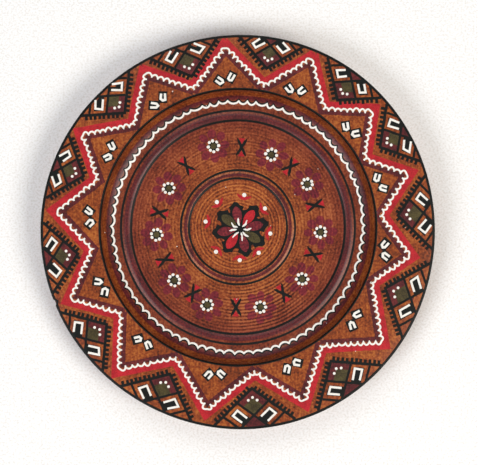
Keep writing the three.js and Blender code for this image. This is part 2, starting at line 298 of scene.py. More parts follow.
def wood_textures(tree, place):
    """Grain, clouds and specks as noise textures, and a value that darkens the pin knots."""
    board = add(tree, "ShaderNodeMapping", Vector=place, Rotation=(0, 0, BOARD_ANGLE),
                Scale=(1 / GRAIN_WIDTH, 1 / GRAIN_LENGTH, 1 / GRAIN_WIDTH)).outputs["Vector"]
    grain = add(tree, "ShaderNodeTexNoise", Vector=board, Scale=1.0, Detail=3.0, Roughness=0.65)
    clouds = add(tree, "ShaderNodeTexNoise", Vector=place, Scale=1 / CLOUD_SIZE, Detail=4.0)
    specks = add(tree, "ShaderNodeTexNoise", Vector=place, Scale=1 / SPECK_SIZE, Detail=3.0)
    knots = add(tree, "ShaderNodeTexVoronoi", Vector=place, Scale=1 / KNOT_SPACING)
    knot = add(tree, "ShaderNodeMapRange", Value=knots.outputs["Distance"], i1=0.03, i2=0.055,
               i3=KNOT_DARKNESS, i4=0.0).outputs[0]
    return grain, clouds, specks, knot


print("grain", round(GRAIN_WIDTH / MM, 1), "mm wide; clouds", round(CLOUD_SIZE / MM), "mm across")

# %% [markdown]
# The rings of pooled stain follow the tool's marks round the well's axis. They are a sine wave of
# the distance from it, and a slow noise along the radius makes some passes of the gouge hold more
# stain than others. They stop at the well's edge, and are heaviest on the side where the gouge
# tore the grain.

# %% Rings of pooled stain
PASS_WIDTH = 3.5 * MM
RING_DRIFT = 1.6 * MM
MIDDLE_RINGS = 0.21
OUTER_RINGS = 0.14
TORN_BEARING = 162
TORN_RINGS = 0.2
TORN_START = 8 * MM


def pooled_rings(tree, centred, radius, clouds, strength):
    """The wave of dark rings, and how deep it is at each place."""
    wander = add(tree, "ShaderNodeMath", {"operation": "MULTIPLY_ADD"}, i0=clouds.outputs["Fac"],
                 i1=RING_DRIFT, i2=radius).outputs[0]
    turns = add(tree, "ShaderNodeMath", {"operation": "MULTIPLY"}, i0=wander,
                i1=math.tau / TOOL_PITCH).outputs[0]
    wave = add(tree, "ShaderNodeMath", {"operation": "SINE"}, i0=turns).outputs[0]
    depth = add(tree, "ShaderNodeMapRange", Value=radius, i1=CENTRE_INNER, i2=CENTRE_OUTER,
                i3=MIDDLE_RINGS * strength, i4=OUTER_RINGS * strength).outputs[0]
    passes = add(tree, "ShaderNodeTexNoise", {"noise_dimensions": "1D"}, W=radius,
                 Scale=1 / PASS_WIDTH, Detail=1.0)
    uneven = add(tree, "ShaderNodeMapRange", Value=passes.outputs["Fac"], i1=0.35, i2=0.65,
                 i3=0.1, i4=1.2).outputs[0]
    depth = add(tree, "ShaderNodeMath", {"operation": "MULTIPLY"}, i0=depth, i1=uneven).outputs[0]
    around = add(tree, "ShaderNodeVectorMath", {"operation": "NORMALIZE"},
                 i0=centred).outputs["Vector"]
    facing = add(tree, "ShaderNodeVectorMath", {"operation": "DOT_PRODUCT"}, i0=around,
                 i1=(*spot(TORN_BEARING, 1), 0)).outputs["Value"]
    torn = add(tree, "ShaderNodeMapRange", Value=facing, i1=0.86, i2=0.97,
               i3=0.0, i4=1.0).outputs[0]
    in_band = add(tree, "ShaderNodeMapRange", Value=radius, i1=CENTRE_OUTER,
                  i2=CENTRE_OUTER + TORN_START, i3=0.0, i4=TORN_RINGS).outputs[0]
    depth = add(tree, "ShaderNodeMath", {"operation": "MULTIPLY_ADD"}, i0=torn, i1=in_band,
                i2=depth).outputs[0]
    in_well = add(tree, "ShaderNodeMath", {"operation": "LESS_THAN"},
                  i0=radius, i1=BEAD_INNER).outputs[0]
    depth = add(tree, "ShaderNodeMath", {"operation": "MULTIPLY"}, i0=depth, i1=in_well).outputs[0]
    return wave, depth


print("stain rings", round(TOOL_PITCH / MM, 1), "mm apart, as the tool marks are")

# %% [markdown]
# The parts are added up to one shade, which picks a colour between dark, middle and light stain.
# A second, slow ramp tints it by the distance from the middle: the well is warm, the cove and its
# bead are redder, and the rim is orange. The cove's darker tint is partly redder stain and partly
# painted shade, and the lighter strip just inside the lip is painted light. Varnish over wood has an
# IOR near 1.46. It is set a little rough, because this coat has dulled, with a thin smoother coat on
# top of it.

# %% Stained wood
WHOLE_WIDTH = 130 * MM
# How stain took from the middle outwards, with painted shade in the cove and painted light just
# inside the lip: distance in mm and the tint that it lays over the wood.
STAIN_SHADE_AND_LIGHT_ZONES = ((0, "f4eef0"), (24, "f2ece8"), (40, "eae6ee"), (60, "d9c9ee"), (69, "b894c4"),
               (74, "c4a8d0"), (78, "c8b4d8"), (83, "c4b4c8"), (86, "e4dcd0"), (91, "ece4cc"),
               (128, "eee4cc"))
PLAIN = ((0, "ffffff"), (128, "ffffff"))


def stained_wood(name, dark, middle, light, tints=STAIN_SHADE_AND_LIGHT_ZONES, ring_strength=1.0):
    material, tree, shader = new_material(name)
    place = add(tree, "ShaderNodeTexCoord").outputs["Object"]
    centred = add(tree, "ShaderNodeMapping", Vector=place, Location=(-FACE_X, -FACE_Y, 0),
                  Scale=(1, 1, 0)).outputs["Vector"]
    radius = add(tree, "ShaderNodeVectorMath", {"operation": "LENGTH"}, i0=centred).outputs["Value"]
    grain, clouds, specks, knot = wood_textures(tree, place)
    wave, depth = pooled_rings(tree, centred, radius, clouds, ring_strength)
    shade = add(tree, "ShaderNodeMath", {"operation": "MULTIPLY_ADD"}, i0=wave, i1=depth,
                i2=knot).outputs[0]
    weights = ((grain, 0.5), (clouds, 0.7), (specks, 1.15))
    middle_shade = 0.5 - sum(weight for _, weight in weights) / 2
    shade = add(tree, "ShaderNodeMath", {"operation": "ADD"}, i0=shade, i1=middle_shade).outputs[0]
    for texture, weight in weights:
        shade = add(tree, "ShaderNodeMath", {"operation": "MULTIPLY_ADD"}, i0=texture.outputs["Fac"],
                    i1=weight, i2=shade).outputs[0]
    colour = colour_steps(tree, shade, (0.15, dark), (0.5, middle), (0.85, light))
    share = add(tree, "ShaderNodeMath", {"operation": "DIVIDE"}, i0=radius, i1=WHOLE_WIDTH).outputs[0]
    # This tint by distance holds the stain zones together with painted shade in the cove and painted
    # light inside the lip.
    tint = colour_steps(tree, share, *((distance * MM / WHOLE_WIDTH, hue) for distance, hue in tints))
    stained = add(tree, "ShaderNodeMix", {"data_type": "RGBA", "blend_type": "MULTIPLY"},
                  i0=1.0, i6=colour, i7=tint)
    tree.links.new(stained.outputs[2], shader.inputs["Base Color"])
    bump = add(tree, "ShaderNodeBump", Strength=0.25, Distance=0.12 * MM, Height=shade).outputs[0]
    tree.links.new(bump, shader.inputs["Normal"])
    shader.inputs["Roughness"].default_value = 0.38
    shader.inputs["IOR"].default_value = 1.46
    shader.inputs["Specular IOR Level"].default_value = 0.35
    shader.inputs["Coat Weight"].default_value = 0.08
    shader.inputs["Coat Roughness"].default_value = 0.28
    return material


# Orange-brown stain under dulled varnish: warm, with the grain showing through.
# Its tint by distance also paints shade into the cove and light onto the strip just inside the lip.
varnished_wood = stained_wood("varnished_orange_stained_wood", "4c1c0a", "98471d", "c8783a")
# Wine stain soaked into the wood: dark and matt beside the enamel, with a hint of the rings.
wine_stain = stained_wood("wine_stain_on_wood", "2e0b10", "571a1e", "7a2a28", PLAIN, 0.5)
# A thinner crimson stain, a little lighter, with the rings showing through.
crimson_stain = stained_wood("crimson_stain_on_wood", "480f18", "701c28", "8c2f30", PLAIN)
print("three stains mixed")


# %% [markdown]
# ### Brushed paint
# The opaque colours are oil enamel laid on with a small round brush. Streaks follow the brush,
# and thin places let a little of the ground show. White enamel was laid thickest and is glossy.

# %% Brushed enamel
BRUSH_STREAK = 0.7 * MM


def brushed_enamel(name, dark, light, roughness=0.36, coat=0.1, specular=0.35):
    material, tree, shader = new_material(name)
    place = add(tree, "ShaderNodeTexCoord").outputs["Object"]
    streaks = add(tree, "ShaderNodeTexNoise", Vector=place, Scale=1 / BRUSH_STREAK, Detail=3.0)
    patches = add(tree, "ShaderNodeTexNoise", Vector=place, Scale=1 / (6 * BRUSH_STREAK), Detail=1.0)
    both = add(tree, "ShaderNodeMath", {"operation": "MULTIPLY_ADD"}, i0=patches.outputs["Fac"],
               i1=0.6, i2=streaks.outputs["Fac"]).outputs[0]
    colour = colour_steps(tree, both, (0.62, dark), (0.98, light))
    tree.links.new(colour, shader.inputs["Base Color"])
    bump = add(tree, "ShaderNodeBump", Strength=0.15, Distance=0.1 * MM,
               Height=streaks.outputs["Fac"]).outputs[0]
    tree.links.new(bump, shader.inputs["Normal"])
    shader.inputs["Roughness"].default_value = roughness
    shader.inputs["Specular IOR Level"].default_value = specular
    shader.inputs["Coat Weight"].default_value = coat
    shader.inputs["Coat Roughness"].default_value = 0.28
    return material


# Black with a trace of green, brushed thin and dull, so it reads as a matt line.
black_enamel = brushed_enamel("brushed_black_green_enamel", "030504", "101412", roughness=0.5,
                              coat=0.03, specular=0.2)
# Scarlet, opaque and a little shiny: the brightest colour on the plate.
scarlet_enamel = brushed_enamel("brushed_scarlet_enamel", "9a101c", "c4222c")
# White laid on thickly, smooth and glossy where it stands up.
white_enamel = brushed_enamel("thick_white_enamel", "e9e5dc", "faf8f2", roughness=0.3)
# Olive, thinned until it is almost a shadow.
olive_enamel = brushed_enamel("brushed_olive_enamel", "332a14", "554b28")
print("four enamels mixed")


# %% [markdown]
# ## The turned wood
# A turner thinks in profiles. The outline of half the plate, from the middle of the face over the
# edge and back to the middle of the recess, is a chain of points. bmesh's spin turns that chain
# once round the axis. The first half is the face, which samples the height formula closely enough
# to show the tool's ridges.

# %% The face's profile
PROFILE_STEP = 0.42 * MM
BEAD_STEPS = 8
COVE_STEPS = 12


def arc_points(centre_r, centre_z, radius, start, stop, steps):
    points = []
    for i in range(steps + 1):
        angle = math.radians(start + (stop - start) * i / steps)
        points.append((centre_r + radius * math.cos(angle), centre_z + radius * math.sin(angle)))
    return points


def face_profile():
    count = int(BEAD_INNER / PROFILE_STEP)
    radii = [BEAD_INNER * i / count for i in range(count)]
    radii += [BEAD_INNER + (COVE_FOOT - BEAD_INNER) * i / BEAD_STEPS for i in range(BEAD_STEPS)]
    toe = COVE_FOOT + COVE_TOE
    radii += [COVE_FOOT]
    radii += [toe + (LIP - LIP_CHAMFER - toe) * math.sin(math.pi / 2 * i / COVE_STEPS)
              for i in range(COVE_STEPS + 1)]
    radii += [LIP]
    return [(radius, face_height(radius)) for radius in radii]


print(len(face_profile()), "points from the middle of the face to the lip")

# %% [markdown]
# The second half is the rim and the back. The rim is a slim rounded edge, and the underside sweeps
# down in one curve to a narrow foot. The foot has small chamfers, because a sharp edge there would
# splinter, and the recess inside it has a round corner where the hanger is fixed.

# %% The rim's and back's profile
FOOT_INSET = 9 * MM
FOOT_WIDTH = 10 * MM
FOOT_HEIGHT = 3 * MM
FOOT_CHAMFER = 0.8 * MM
RECESS_DEPTH = 5 * MM
RIM_THICKNESS = 7 * MM
UNDER_ROUND = 2.6 * MM
BACK_FLAT = 4 * MM
EDGE_SHOULDER = 10 * MM
SWEEP_STEPS = 12
FOOT_OUTER = COVE_FOOT - FOOT_INSET
RECESS = FOOT_OUTER - FOOT_WIDTH


def back_profile():
    under = RIM_TOP - RIM_THICKNESS
    start = Vector((LIP + BACK_FLAT, under))
    bend = Vector(((FOOT_OUTER + LIP) / 2 + BACK_FLAT, FOOT_HEIGHT + RIM_THICKNESS))
    end = Vector((FOOT_OUTER, FOOT_HEIGHT))
    sweep = []
    for i in range(SWEEP_STEPS + 1):
        t = i / SWEEP_STEPS
        point = start * (1 - t) ** 2 + bend * 2 * t * (1 - t) + end * t ** 2
        sweep.append((point.x, point.y))
    edge = PLATE_RADIUS - EDGE_ROUND
    points = [(edge - EDGE_SHOULDER, RIM_TOP)]
    points += arc_points(edge, RIM_TOP - EDGE_ROUND, EDGE_ROUND, 90, 0, 5)
    points += arc_points(PLATE_RADIUS - UNDER_ROUND, under + UNDER_ROUND, UNDER_ROUND, 0, -90, 6)
    points += sweep
    points += [(FOOT_OUTER, FOOT_CHAMFER), (FOOT_OUTER - FOOT_CHAMFER, 0)]
    points += [(RECESS + FOOT_CHAMFER, 0), (RECESS, FOOT_CHAMFER)]
    points += arc_points(RECESS - FOOT_HEIGHT, RECESS_DEPTH - FOOT_HEIGHT, FOOT_HEIGHT, 0, 90, 6)
    points += [(RECESS * share, RECESS_DEPTH) for share in (0.8, 0.6, 0.4, 0.2)]
    points += [(0, RECESS_DEPTH)]
    return points


print("foot", round(FOOT_OUTER / MM, 1), "mm in radius, recess", round(RECESS / MM, 1), "mm")

# %% [markdown]
# The spin closes the chain into a solid of revolution. Then the well's part is moved to its own
# axis and the edge is made a little out of round, as the real one is, with the chip cut into it.

# %% Turn the plate
LATHE_STEPS = 360
CHIP_REACH = 3 * MM


def spin_profile(bm, points, closed=False):
    verts = [bm.verts.new((radius, 0, height)) for radius, height in points]
    edges = [bm.edges.new(pair) for pair in zip(verts, verts[1:])]
    if closed:
        edges.append(bm.edges.new((verts[-1], verts[0])))
    bmesh.ops.spin(bm, geom=verts + edges, cent=(0, 0, 0), axis=(0, 0, 1), dvec=(0, 0, 0),
                   angle=math.tau, steps=LATHE_STEPS, use_merge=True, use_duplicate=False)


def shift_face(bm):
    """Moves everything on the face inside the lip to the well's own axis."""
    for vert in bm.verts:
        if vert.co.z > RECESS_DEPTH + MM and vert.co.xy.length < LIP + 0.01 * MM \
                and vert.co.z >= face_height(vert.co.xy.length) - 0.01 * MM:
            vert.co += FACE


def wear_edge(bm):
    for vert in bm.verts:
        out = vert.co.xy.length
        if out < LIP + BACK_FLAT * 2:
            continue
        share = (out - LIP) / (PLATE_RADIUS - LIP)
        growth = 1 + (edge_growth(vert.co.x, vert.co.y) - 1) * share
        if out > PLATE_RADIUS - CHIP_REACH and vert.co.z > RIM_TOP - CHIP_HEIGHT:
            growth -= chip_at(vert.co.x, vert.co.y) / PLATE_RADIUS
        vert.co.x *= growth
        vert.co.y *= growth


bm = bmesh.new()
spin_profile(bm, face_profile() + back_profile())
bmesh.ops.remove_doubles(bm, verts=bm.verts, dist=1e-6)
shift_face(bm)
wear_edge(bm)
turned_plate = finish_piece("turned_plate", bm, varnished_wood)
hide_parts("plate_body")

# %% [markdown]
# ## Laying paint on the wood
# Every painted line is a thin body of paint, wider than it is high, with a crowned top. Two small
# helpers come first. One is a hand's small error: it draws from a seeded series, so each run makes
# the same plate. The other gives the half-width of a brush line at each corner. It is longer at a
# sharp turn, so that the line keeps its width.

# %% A hand's error and a line's sides
SHARPEST = 0.3
LONGEST_MITRE = 2
random.seed(13)


def unsteady(amount):
    """A hand's small error, in metres."""
    return random.uniform(-amount, amount)


def side_vectors(points, half_width, closed):
    """The half-width vector at each point, longer at a corner so that the line keeps its width."""
    count = len(points)
    sides = []
    for i in range(count):
        before = points[i - 1] if closed or i else points[i]
        after = points[(i + 1) % count] if closed or i < count - 1 else points[i]
        into = points[i] - before if before is not points[i] else after - points[i]
        away = after - points[i] if after is not points[i] else into
        into = into.normalized()
        away = away.normalized()
        mitre = into + away
        if mitre.length < SHARPEST:
            mitre = away
        mitre.normalize()
        normal = Vector((-mitre.y, mitre.x))
        stretch = 1 / max(1 / LONGEST_MITRE, normal.dot(Vector((-away.y, away.x))))
        sides.append(normal * half_width * stretch)
    return sides


print("a square corner needs a half-width", round(side_vectors(
    [Vector((0, 1)), Vector((0, 0)), Vector((1, 0))], 1, False)[1].length, 2), "times the brush's")

# %% [markdown]
# A film of paint starts as a flat sheet. Where the brush ran past the rim it is pulled back to the
# rounded arris. Extruding the sheet gives it its thickness: the lower side is sunk a little into
# the wood, so that no gap shows beneath, and the upper side is lifted, most in the middle.

# %% Give a film its thickness
SINK = 0.15 * MM


def keep_on_plate(x, y):
    """Pulls a point back to the rim's rounded arris if the brush ran over the edge."""
    limit = (PLATE_RADIUS - EDGE_ROUND * 0.6) * edge_growth(x, y)
    out = math.hypot(x, y)
    if out > limit:
        return x * limit / out, y * limit / out
    return x, y


def thicken(bm, sheet, lift, crown, middle):
    """Makes a flat sheet of paint into a closed film that follows the wood."""
    for face in sheet:
        face.normal_update()
    bmesh.ops.reverse_faces(bm, faces=[face for face in sheet if face.normal.z < 0])
    below = {vert for face in sheet for vert in face.verts}
    for vert in below:
        vert.co.x, vert.co.y = keep_on_plate(vert.co.x, vert.co.y)
    made = bmesh.ops.extrude_face_region(bm, geom=list(sheet))["geom"]
    above = {item for item in made if isinstance(item, bmesh.types.BMVert)}
    for vert in below:
        vert.co.z = height_at(vert.co.x, vert.co.y) - SINK
    for vert in above:
        vert.co.z = height_at(vert.co.x, vert.co.y) + lift + crown * vert[middle]


print("paint is sunk", round(SINK / MM, 2), "mm")

# %% [markdown]
# A stroke goes from corner to corner. The half-width vectors are worked out at the corners and
# shared out between them, so a wide band turns a sharp corner without folding over itself. taper is
# the length of each fine end, where the brush was set down and lifted.

# %% The path of a stroke
TIP_WIDTH = 0.3


def line(corners, width, step=None, closed=False, taper=0.0, shake=0.0):
    """A stroke through some corners: its points, their half-width vectors and whether it closes."""
    sides = side_vectors(corners, width / 2, closed)
    points, halves = [], []
    count = len(corners) if closed else len(corners) - 1
    for i in range(count):
        start, end = corners[i], corners[(i + 1) % len(corners)]
        first, last = sides[i], sides[(i + 1) % len(corners)]
        pieces = max(1, round((end - start).length / step)) if step else 1
        for j in range(pieces):
            wobble = Vector((unsteady(shake), unsteady(shake)))
            points.append(start.lerp(end, j / pieces) + wobble)
            halves.append(first.lerp(last, j / pieces))
    if not closed:
        points.append(corners[-1].copy())
        halves.append(sides[-1])
    if taper:
        total = sum((b - a).length for a, b in zip(points, points[1:]))
        gone = 0.0
        for i, point in enumerate(points):
            gone += (point - points[i - 1]).length if i else 0.0
            fullness = min(1.0, gone / taper, (total - gone) / taper)
            halves[i] = halves[i] * (TIP_WIDTH + (1 - TIP_WIDTH) * fullness)
    return points, halves, closed


print("a fine end narrows to", TIP_WIDTH, "of the brush's width")

# %% [markdown]
# The stroke becomes a wire in a bmesh, and each point carries its sideways vector in a layer.
# Extruding the wire to both sides along those vectors makes a ribbon, which then gets its
# thickness.

# %% Brush lines
def brush_lines(bm, strokes, lift, crown):
    """Lays strokes, as line() gives them, on the wood."""
    side = bm.verts.layers.float_vector.get("side") or bm.verts.layers.float_vector.new("side")
    middle = bm.verts.layers.float.get("middle") or bm.verts.layers.float.new("middle")
    wires = []
    for points, halves, closed in strokes:
        verts = [bm.verts.new((point.x, point.y, 0)) for point in points]
        for vert, half in zip(verts, halves):
            vert[side] = (half.x, half.y, 0)
            vert[middle] = 1.0
        wires += [bm.edges.new(pair) for pair in zip(verts, verts[1:])]
        if closed:
            wires.append(bm.edges.new((verts[-1], verts[0])))
    sheet = []
    for direction in (1, -1):
        made = bmesh.ops.extrude_edge_only(bm, edges=wires)["geom"]
        sheet += [item for item in made if isinstance(item, bmesh.types.BMFace)]
        for vert in made:
            if isinstance(vert, bmesh.types.BMVert):
                vert.co += vert[side] * direction
                vert[middle] = 0.0
    thicken(bm, sheet, lift, crown, middle)


print("a ribbon has a middle and two edges")

# %% [markdown]
# Dots, petals and lozenges are filled shapes. Each starts as bmesh's create_circle with its cap
# filled, stretched and turned into place, and gets the same thickness as a line. The circle's
# middle is poked to a point, so that a dab of enamel can stand up as a small dome.

# %% Filled dabs
def dab(bm, x, y, across, along, bearing, lift, crown, corners=12):
    """A filled shape: across by along its two widths, its long side towards a bearing."""
    middle = bm.verts.layers.float.get("middle") or bm.verts.layers.float.new("middle")
    turn = Matrix.Rotation(-math.radians(bearing), 4, "Z")
    place = Matrix.Translation((x, y, 0)) @ turn @ Matrix.Diagonal((across / 2, along / 2, 1, 1))
    if corners == 4:
        place = place @ Matrix.Rotation(math.pi / 4, 4, "Z") @ Matrix.Scale(math.sqrt(2), 4)
    made = bmesh.ops.create_circle(bm, cap_ends=True, segments=corners, radius=1, matrix=place)
    ring = made["verts"]
    cap = list({face for vert in ring for face in vert.link_faces})
    poked = bmesh.ops.poke(bm, faces=cap)
    for vert in poked["verts"]:
        vert[middle] = 1.0
    thicken(bm, poked["faces"], lift, crown, middle)


print("a dab has 12 sides unless it is told otherwise")

# %% [markdown]
# Positions on the plate are given as a bearing and a distance from one of the two axes. A small
# motif, such as a flower, has its own upright: out from the middle of the plate.

# %% Places on the plate
def local(origin, bearing, across, outward):
    """A point beside an origin: across is clockwise round the plate, outward is away from it."""
    angle = math.radians(bearing)
    step = Vector((math.cos(angle), -math.sin(angle))) * across
    return origin + step + Vector((math.sin(angle), math.cos(angle))) * outward


FACE_2D = (FACE_X, FACE_Y)
print("bearings start at the top of the plate, at", tuple(spot(0, PLATE_RADIUS)))

# %% [markdown]
# ## The painted rings
# The painter held a loaded brush against the turning plate, so each ring is nearly a true circle.
# A ring's section is a short strip that follows the wood, a tenth of a millimetre proud of it and
# sunk a little below it. The same spin that turned the plate turns the strip, and a slow wander of
# a tenth of a millimetre keeps it from looking printed.

# %% A ring's section and its spin
STRIP_ROWS = 8
RING_WANDER = 0.14 * MM
WANDERS = 5


def strip_profile(inner, outer, lift):
    radii = [inner + (outer - inner) * i / STRIP_ROWS for i in range(STRIP_ROWS + 1)]
    above, below = [], []
    for i, radius in enumerate(radii):
        slope = (face_height(radius + 0.05 * MM) - face_height(radius - 0.05 * MM)) / (0.1 * MM)
        normal = Vector((-slope, 1)).normalized()
        crown = lift * (0.35 + 0.65 * math.sin(math.pi * i / STRIP_ROWS))
        above.append(Vector((radius, face_height(radius))) + normal * crown)
        below.append(Vector((radius, face_height(radius))) - normal * SINK)
    return [tuple(point) for point in above + below[::-1]]


def painted_ring(name, node, inner, outer, material, lift):
    bm = bmesh.new()
    spin_profile(bm, strip_profile(inner, outer, lift), closed=True)
    phase = random.uniform(0, 50)
    for vert in bm.verts:
        radius = vert.co.xy.length
        turn = vert.co.xy / radius
        edge = (radius - (inner + outer) / 2) / (outer - inner) * 2
        sample = Vector((turn.x * WANDERS, turn.y * WANDERS, phase + edge))
        wander = noise.noise(sample) * RING_WANDER
        rise = face_height(radius + wander) - face_height(radius)
        vert.co += Vector((turn.x * wander, turn.y * wander, rise)) + FACE
    ring = finish_piece(name, bm, material)
    if node:
        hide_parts(node)
    return ring


print("a ring's section has", STRIP_ROWS, "strips")

# %% [markdown]
# Five black rings mark the turned steps: at the lip, at the cove's foot, at the well's edge, and on
# both sides of the small bead round the middle. Each is placed by its step's radius, and lies up to
# 0.6 mm off it, where the brush found a flat place.

# %% Rings on the turned steps
RING_LINE = 1.4 * MM
LINE_LIFT = 0.1 * MM
STAIN_LIFT = 0.03 * MM
black_rings = {
    "lip_ring_line": ("black_ring_lip", LIP - 0.1 * MM),
    "cove_foot_ring_line": ("black_ring_cove_foot", COVE_FOOT + 0.5 * MM),
    "well_ring_line": ("black_ring_well", BEAD_INNER + 0.6 * MM),
    "centre_outer_ring_line": ("black_ring_centre_outer", CENTRE_OUTER + 0.3 * MM),
    "centre_inner_ring_line": ("black_ring_centre_inner", CENTRE_INNER + 0.5 * MM),
}
for name, (node, middle) in black_rings.items():
    painted_ring(name, node, middle - RING_LINE / 2, middle + RING_LINE / 2, black_enamel,
                 LINE_LIFT)

# %% [markdown]
# Three broader stripes are wine-red stain: one high in the cove, one along the bead at the cove's
# foot, and one on the small bead round the centre. Stain is thin and sinks in, so it lies lower
# than the enamel and the wood's grain shows through it.

# %% Wine stripes
COVE_STRIPE = (81.4 * MM, 84.4 * MM)
BEAD_MIDDLE = (BEAD_INNER + COVE_FOOT) / 2
BEAD_STRIPE = 3.4 * MM
CENTRE_MIDDLE = (CENTRE_INNER + CENTRE_OUTER) / 2
CENTRE_STRIPE = 1.8 * MM
wine_stripes = {
    "cove_wine_stripe": ("wine_stripe_cove", *COVE_STRIPE),
    "bead_wine_stripe": ("wine_stripe_bead",
                         BEAD_MIDDLE - BEAD_STRIPE / 2, BEAD_MIDDLE + BEAD_STRIPE / 2),
    "centre_wine_stripe": ("wine_stripe_centre", CENTRE_MIDDLE - CENTRE_STRIPE / 2,
                           CENTRE_MIDDLE + CENTRE_STRIPE / 2),
}
for name, (node, inner, outer) in wine_stripes.items():
    painted_ring(name, node, inner, outer, wine_stain, STAIN_LIFT)

# %% [markdown]
# The plate's edge was blackened by holding the brush against the rim as it turned. The section is
# again a strip: it starts on top of the rounded arris and runs down the outside.

# %% Black edge
EDGE_DROP = 4.2 * MM
EDGE_ON_FACE = 0.5 * MM
EDGE_LIFT = 0.12 * MM
outside = PLATE_RADIUS - EDGE_ROUND
start = outside - EDGE_ON_FACE
shell = [(start, face_height(start) + EDGE_LIFT * 0.4)]
shell += arc_points(outside, RIM_TOP - EDGE_ROUND, EDGE_ROUND + EDGE_LIFT * 0.6, 88, 60, 2)
shell += arc_points(outside, RIM_TOP - EDGE_ROUND, EDGE_ROUND + EDGE_LIFT, 45, 0, 3)
shell += [(PLATE_RADIUS + EDGE_LIFT, RIM_TOP - EDGE_DROP * 0.9), (PLATE_RADIUS, RIM_TOP - EDGE_DROP)]
shell += [(PLATE_RADIUS - SINK, RIM_TOP - EDGE_DROP)]
shell += arc_points(outside, RIM_TOP - EDGE_ROUND, EDGE_ROUND - SINK, 0, 88, 5)
shell += [(start, face_height(start) - SINK)]
bm = bmesh.new()
spin_profile(bm, shell, closed=True)
wear_edge(bm)
black_edge = finish_piece("blackened_edge", bm, black_enamel)
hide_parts("black_edge_band")

# %% [markdown]
# ## The scalloped white ring
# Round the cove runs a white line of some 85 small scallops. The painter set the brush down, drew
# a little curve and lifted it, over and over. Behind the white, on the outer side, the same
# scallops were first laid in black, so the white stands out.

# %% Scallops in the cove
ARC_STEPS = 6
COVE_SCALLOPS = 85
COVE_CUSP_RADIUS = 80.8 * MM
COVE_BULGE = 1.7 * MM
SCALLOP_LINE = 1.15 * MM
SHADOW_LINE = 1.5 * MM
SHADOW_OUT = 0.8 * MM
WHITE_LIFT = 0.16 * MM
WHITE_CROWN = 0.12 * MM


def scalloped(cusps, bulge, closed):
    """Small arcs from cusp to cusp; they swell to the left of the way the brush went."""
    points = []
    for i in range(len(cusps) if closed else len(cusps) - 1):
        start = cusps[i]
        along = cusps[(i + 1) % len(cusps)] - start
        out = Vector((-along.y, along.x)).normalized()
        rise = bulge * random.uniform(0.65, 1.2)
        for step in range(ARC_STEPS):
            share = step / ARC_STEPS
            points.append(start + along * share + out * rise * math.sin(math.pi * share) ** 0.75)
    if not closed:
        points.append(cusps[-1])
    return points


cusps = []
for i in range(COVE_SCALLOPS):
    bearing = 360 * (i + random.uniform(-0.18, 0.18)) / COVE_SCALLOPS
    cusps.append(spot(bearing, COVE_CUSP_RADIUS + unsteady(0.35 * MM), FACE_2D))
white_path = scalloped(cusps, -COVE_BULGE, closed=True)
black_path = [point + (point - FACE.xy).normalized() * SHADOW_OUT for point in white_path]
bm = bmesh.new()
brush_lines(bm, [line(black_path, SHADOW_LINE, closed=True)], LINE_LIFT * 0.7, 0)
finish_piece("cove_scallop_shadow", bm, black_enamel)
bm = bmesh.new()
brush_lines(bm, [line(white_path, SCALLOP_LINE, closed=True)], WHITE_LIFT, WHITE_CROWN)
cove_scallops = finish_piece("cove_scallop_line", bm, white_enamel)
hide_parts("white_scallop_ring")

# %% [markdown]
# ## The thirteen-pointed star
# The star was drawn freehand, so no two of its points are alike. Each row below is one point,
# going clockwise: the bearing and distance in millimetres of its tip, of the valley that follows,
# and of the start of the woven field in that valley. From this one zigzag come the scarlet band
# outside it, the wine band inside it and the white scalloped line between them.

# %% The star's zigzag
STAR_LINE = 1.2 * MM
SCARLET_WIDTH = 4.3 * MM
WINE_WIDTH = 2.9 * MM
# Each point: the tip's bearing and distance, the valley's after it, and where its net starts.
STAR_POINTS = (
    (-4.1, 116.9, 9.7, 93.1, 9.7, 107.3),
    (22.9, 118.8, 34.6, 94.5, 36.9, 106.6),
    (47.8, 113.6, 60.0, 91.6, 59.1, 106.6),
    (71.1, 112.8, 83.5, 90.2, 84.2, 103.7),
    (98.0, 109.2, 110.8, 89.7, 111.0, 101.8),
    (127.6, 114.3, 144.2, 88.8, 144.5, 103.0),
    (158.8, 114.6, 173.5, 88.8, 175.2, 101.8),
    (190.2, 114.3, 206.3, 88.8, 205.8, 102.3),
    (221.0, 115.2, 235.4, 90.2, 234.9, 104.4),
    (248.2, 114.3, 263.1, 93.1, 262.2, 105.1),
    (276.5, 115.7, 290.3, 94.5, 289.8, 106.6),
    (302.0, 116.3, 315.7, 94.5, 316.2, 106.6),
    (329.6, 116.3, 342.5, 94.5, 343.2, 105.1),
)
star = []
for tip, tip_distance, valley, valley_distance, _, _ in STAR_POINTS:
    star += [spot(tip, tip_distance * MM), spot(valley, valley_distance * MM)]
print(len(star), "corners in the star")


def offset(corners, distance, closed=False):
    """The same line moved to its left, which is outwards when it runs clockwise."""
    return [corner + side for corner, side in zip(corners, side_vectors(corners, distance, closed))]


def shaky(points, amount):
    return [point + Vector((unsteady(amount), unsteady(amount))) for point in points]


# %% [markdown]
# The scarlet band goes along the outside of the zigzag and the wine band along its inside. Both are
# flat and wide, and leave the width of the white line free between them.

# %% The star's two bands
BAND_STEP = 1.6 * MM
BAND_SHAKE = 0.12 * MM
bm = bmesh.new()
scarlet_path = offset(star, (STAR_LINE + SCARLET_WIDTH) / 2, True)
brush_lines(bm, [line(scarlet_path, SCARLET_WIDTH, BAND_STEP, True, shake=BAND_SHAKE)], STAIN_LIFT, 0)
scarlet_band = finish_piece("scarlet_star_stripe", bm, scarlet_enamel)
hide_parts("scarlet_star_band")

bm = bmesh.new()
wine_path = offset(star, -(STAR_LINE + WINE_WIDTH) / 2, True)
brush_lines(bm, [line(wine_path, WINE_WIDTH, BAND_STEP, True, shake=BAND_SHAKE)], STAIN_LIFT, 0)
wine_band = finish_piece("wine_star_stripe", bm, wine_stain)
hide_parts("wine_star_band")

# %% [markdown]
# The white line is a row of scallops a little under 4 mm apart along each side of every point.
# They swell outwards over the scarlet, and at each cusp the brush left a short hook on the wine
# side.

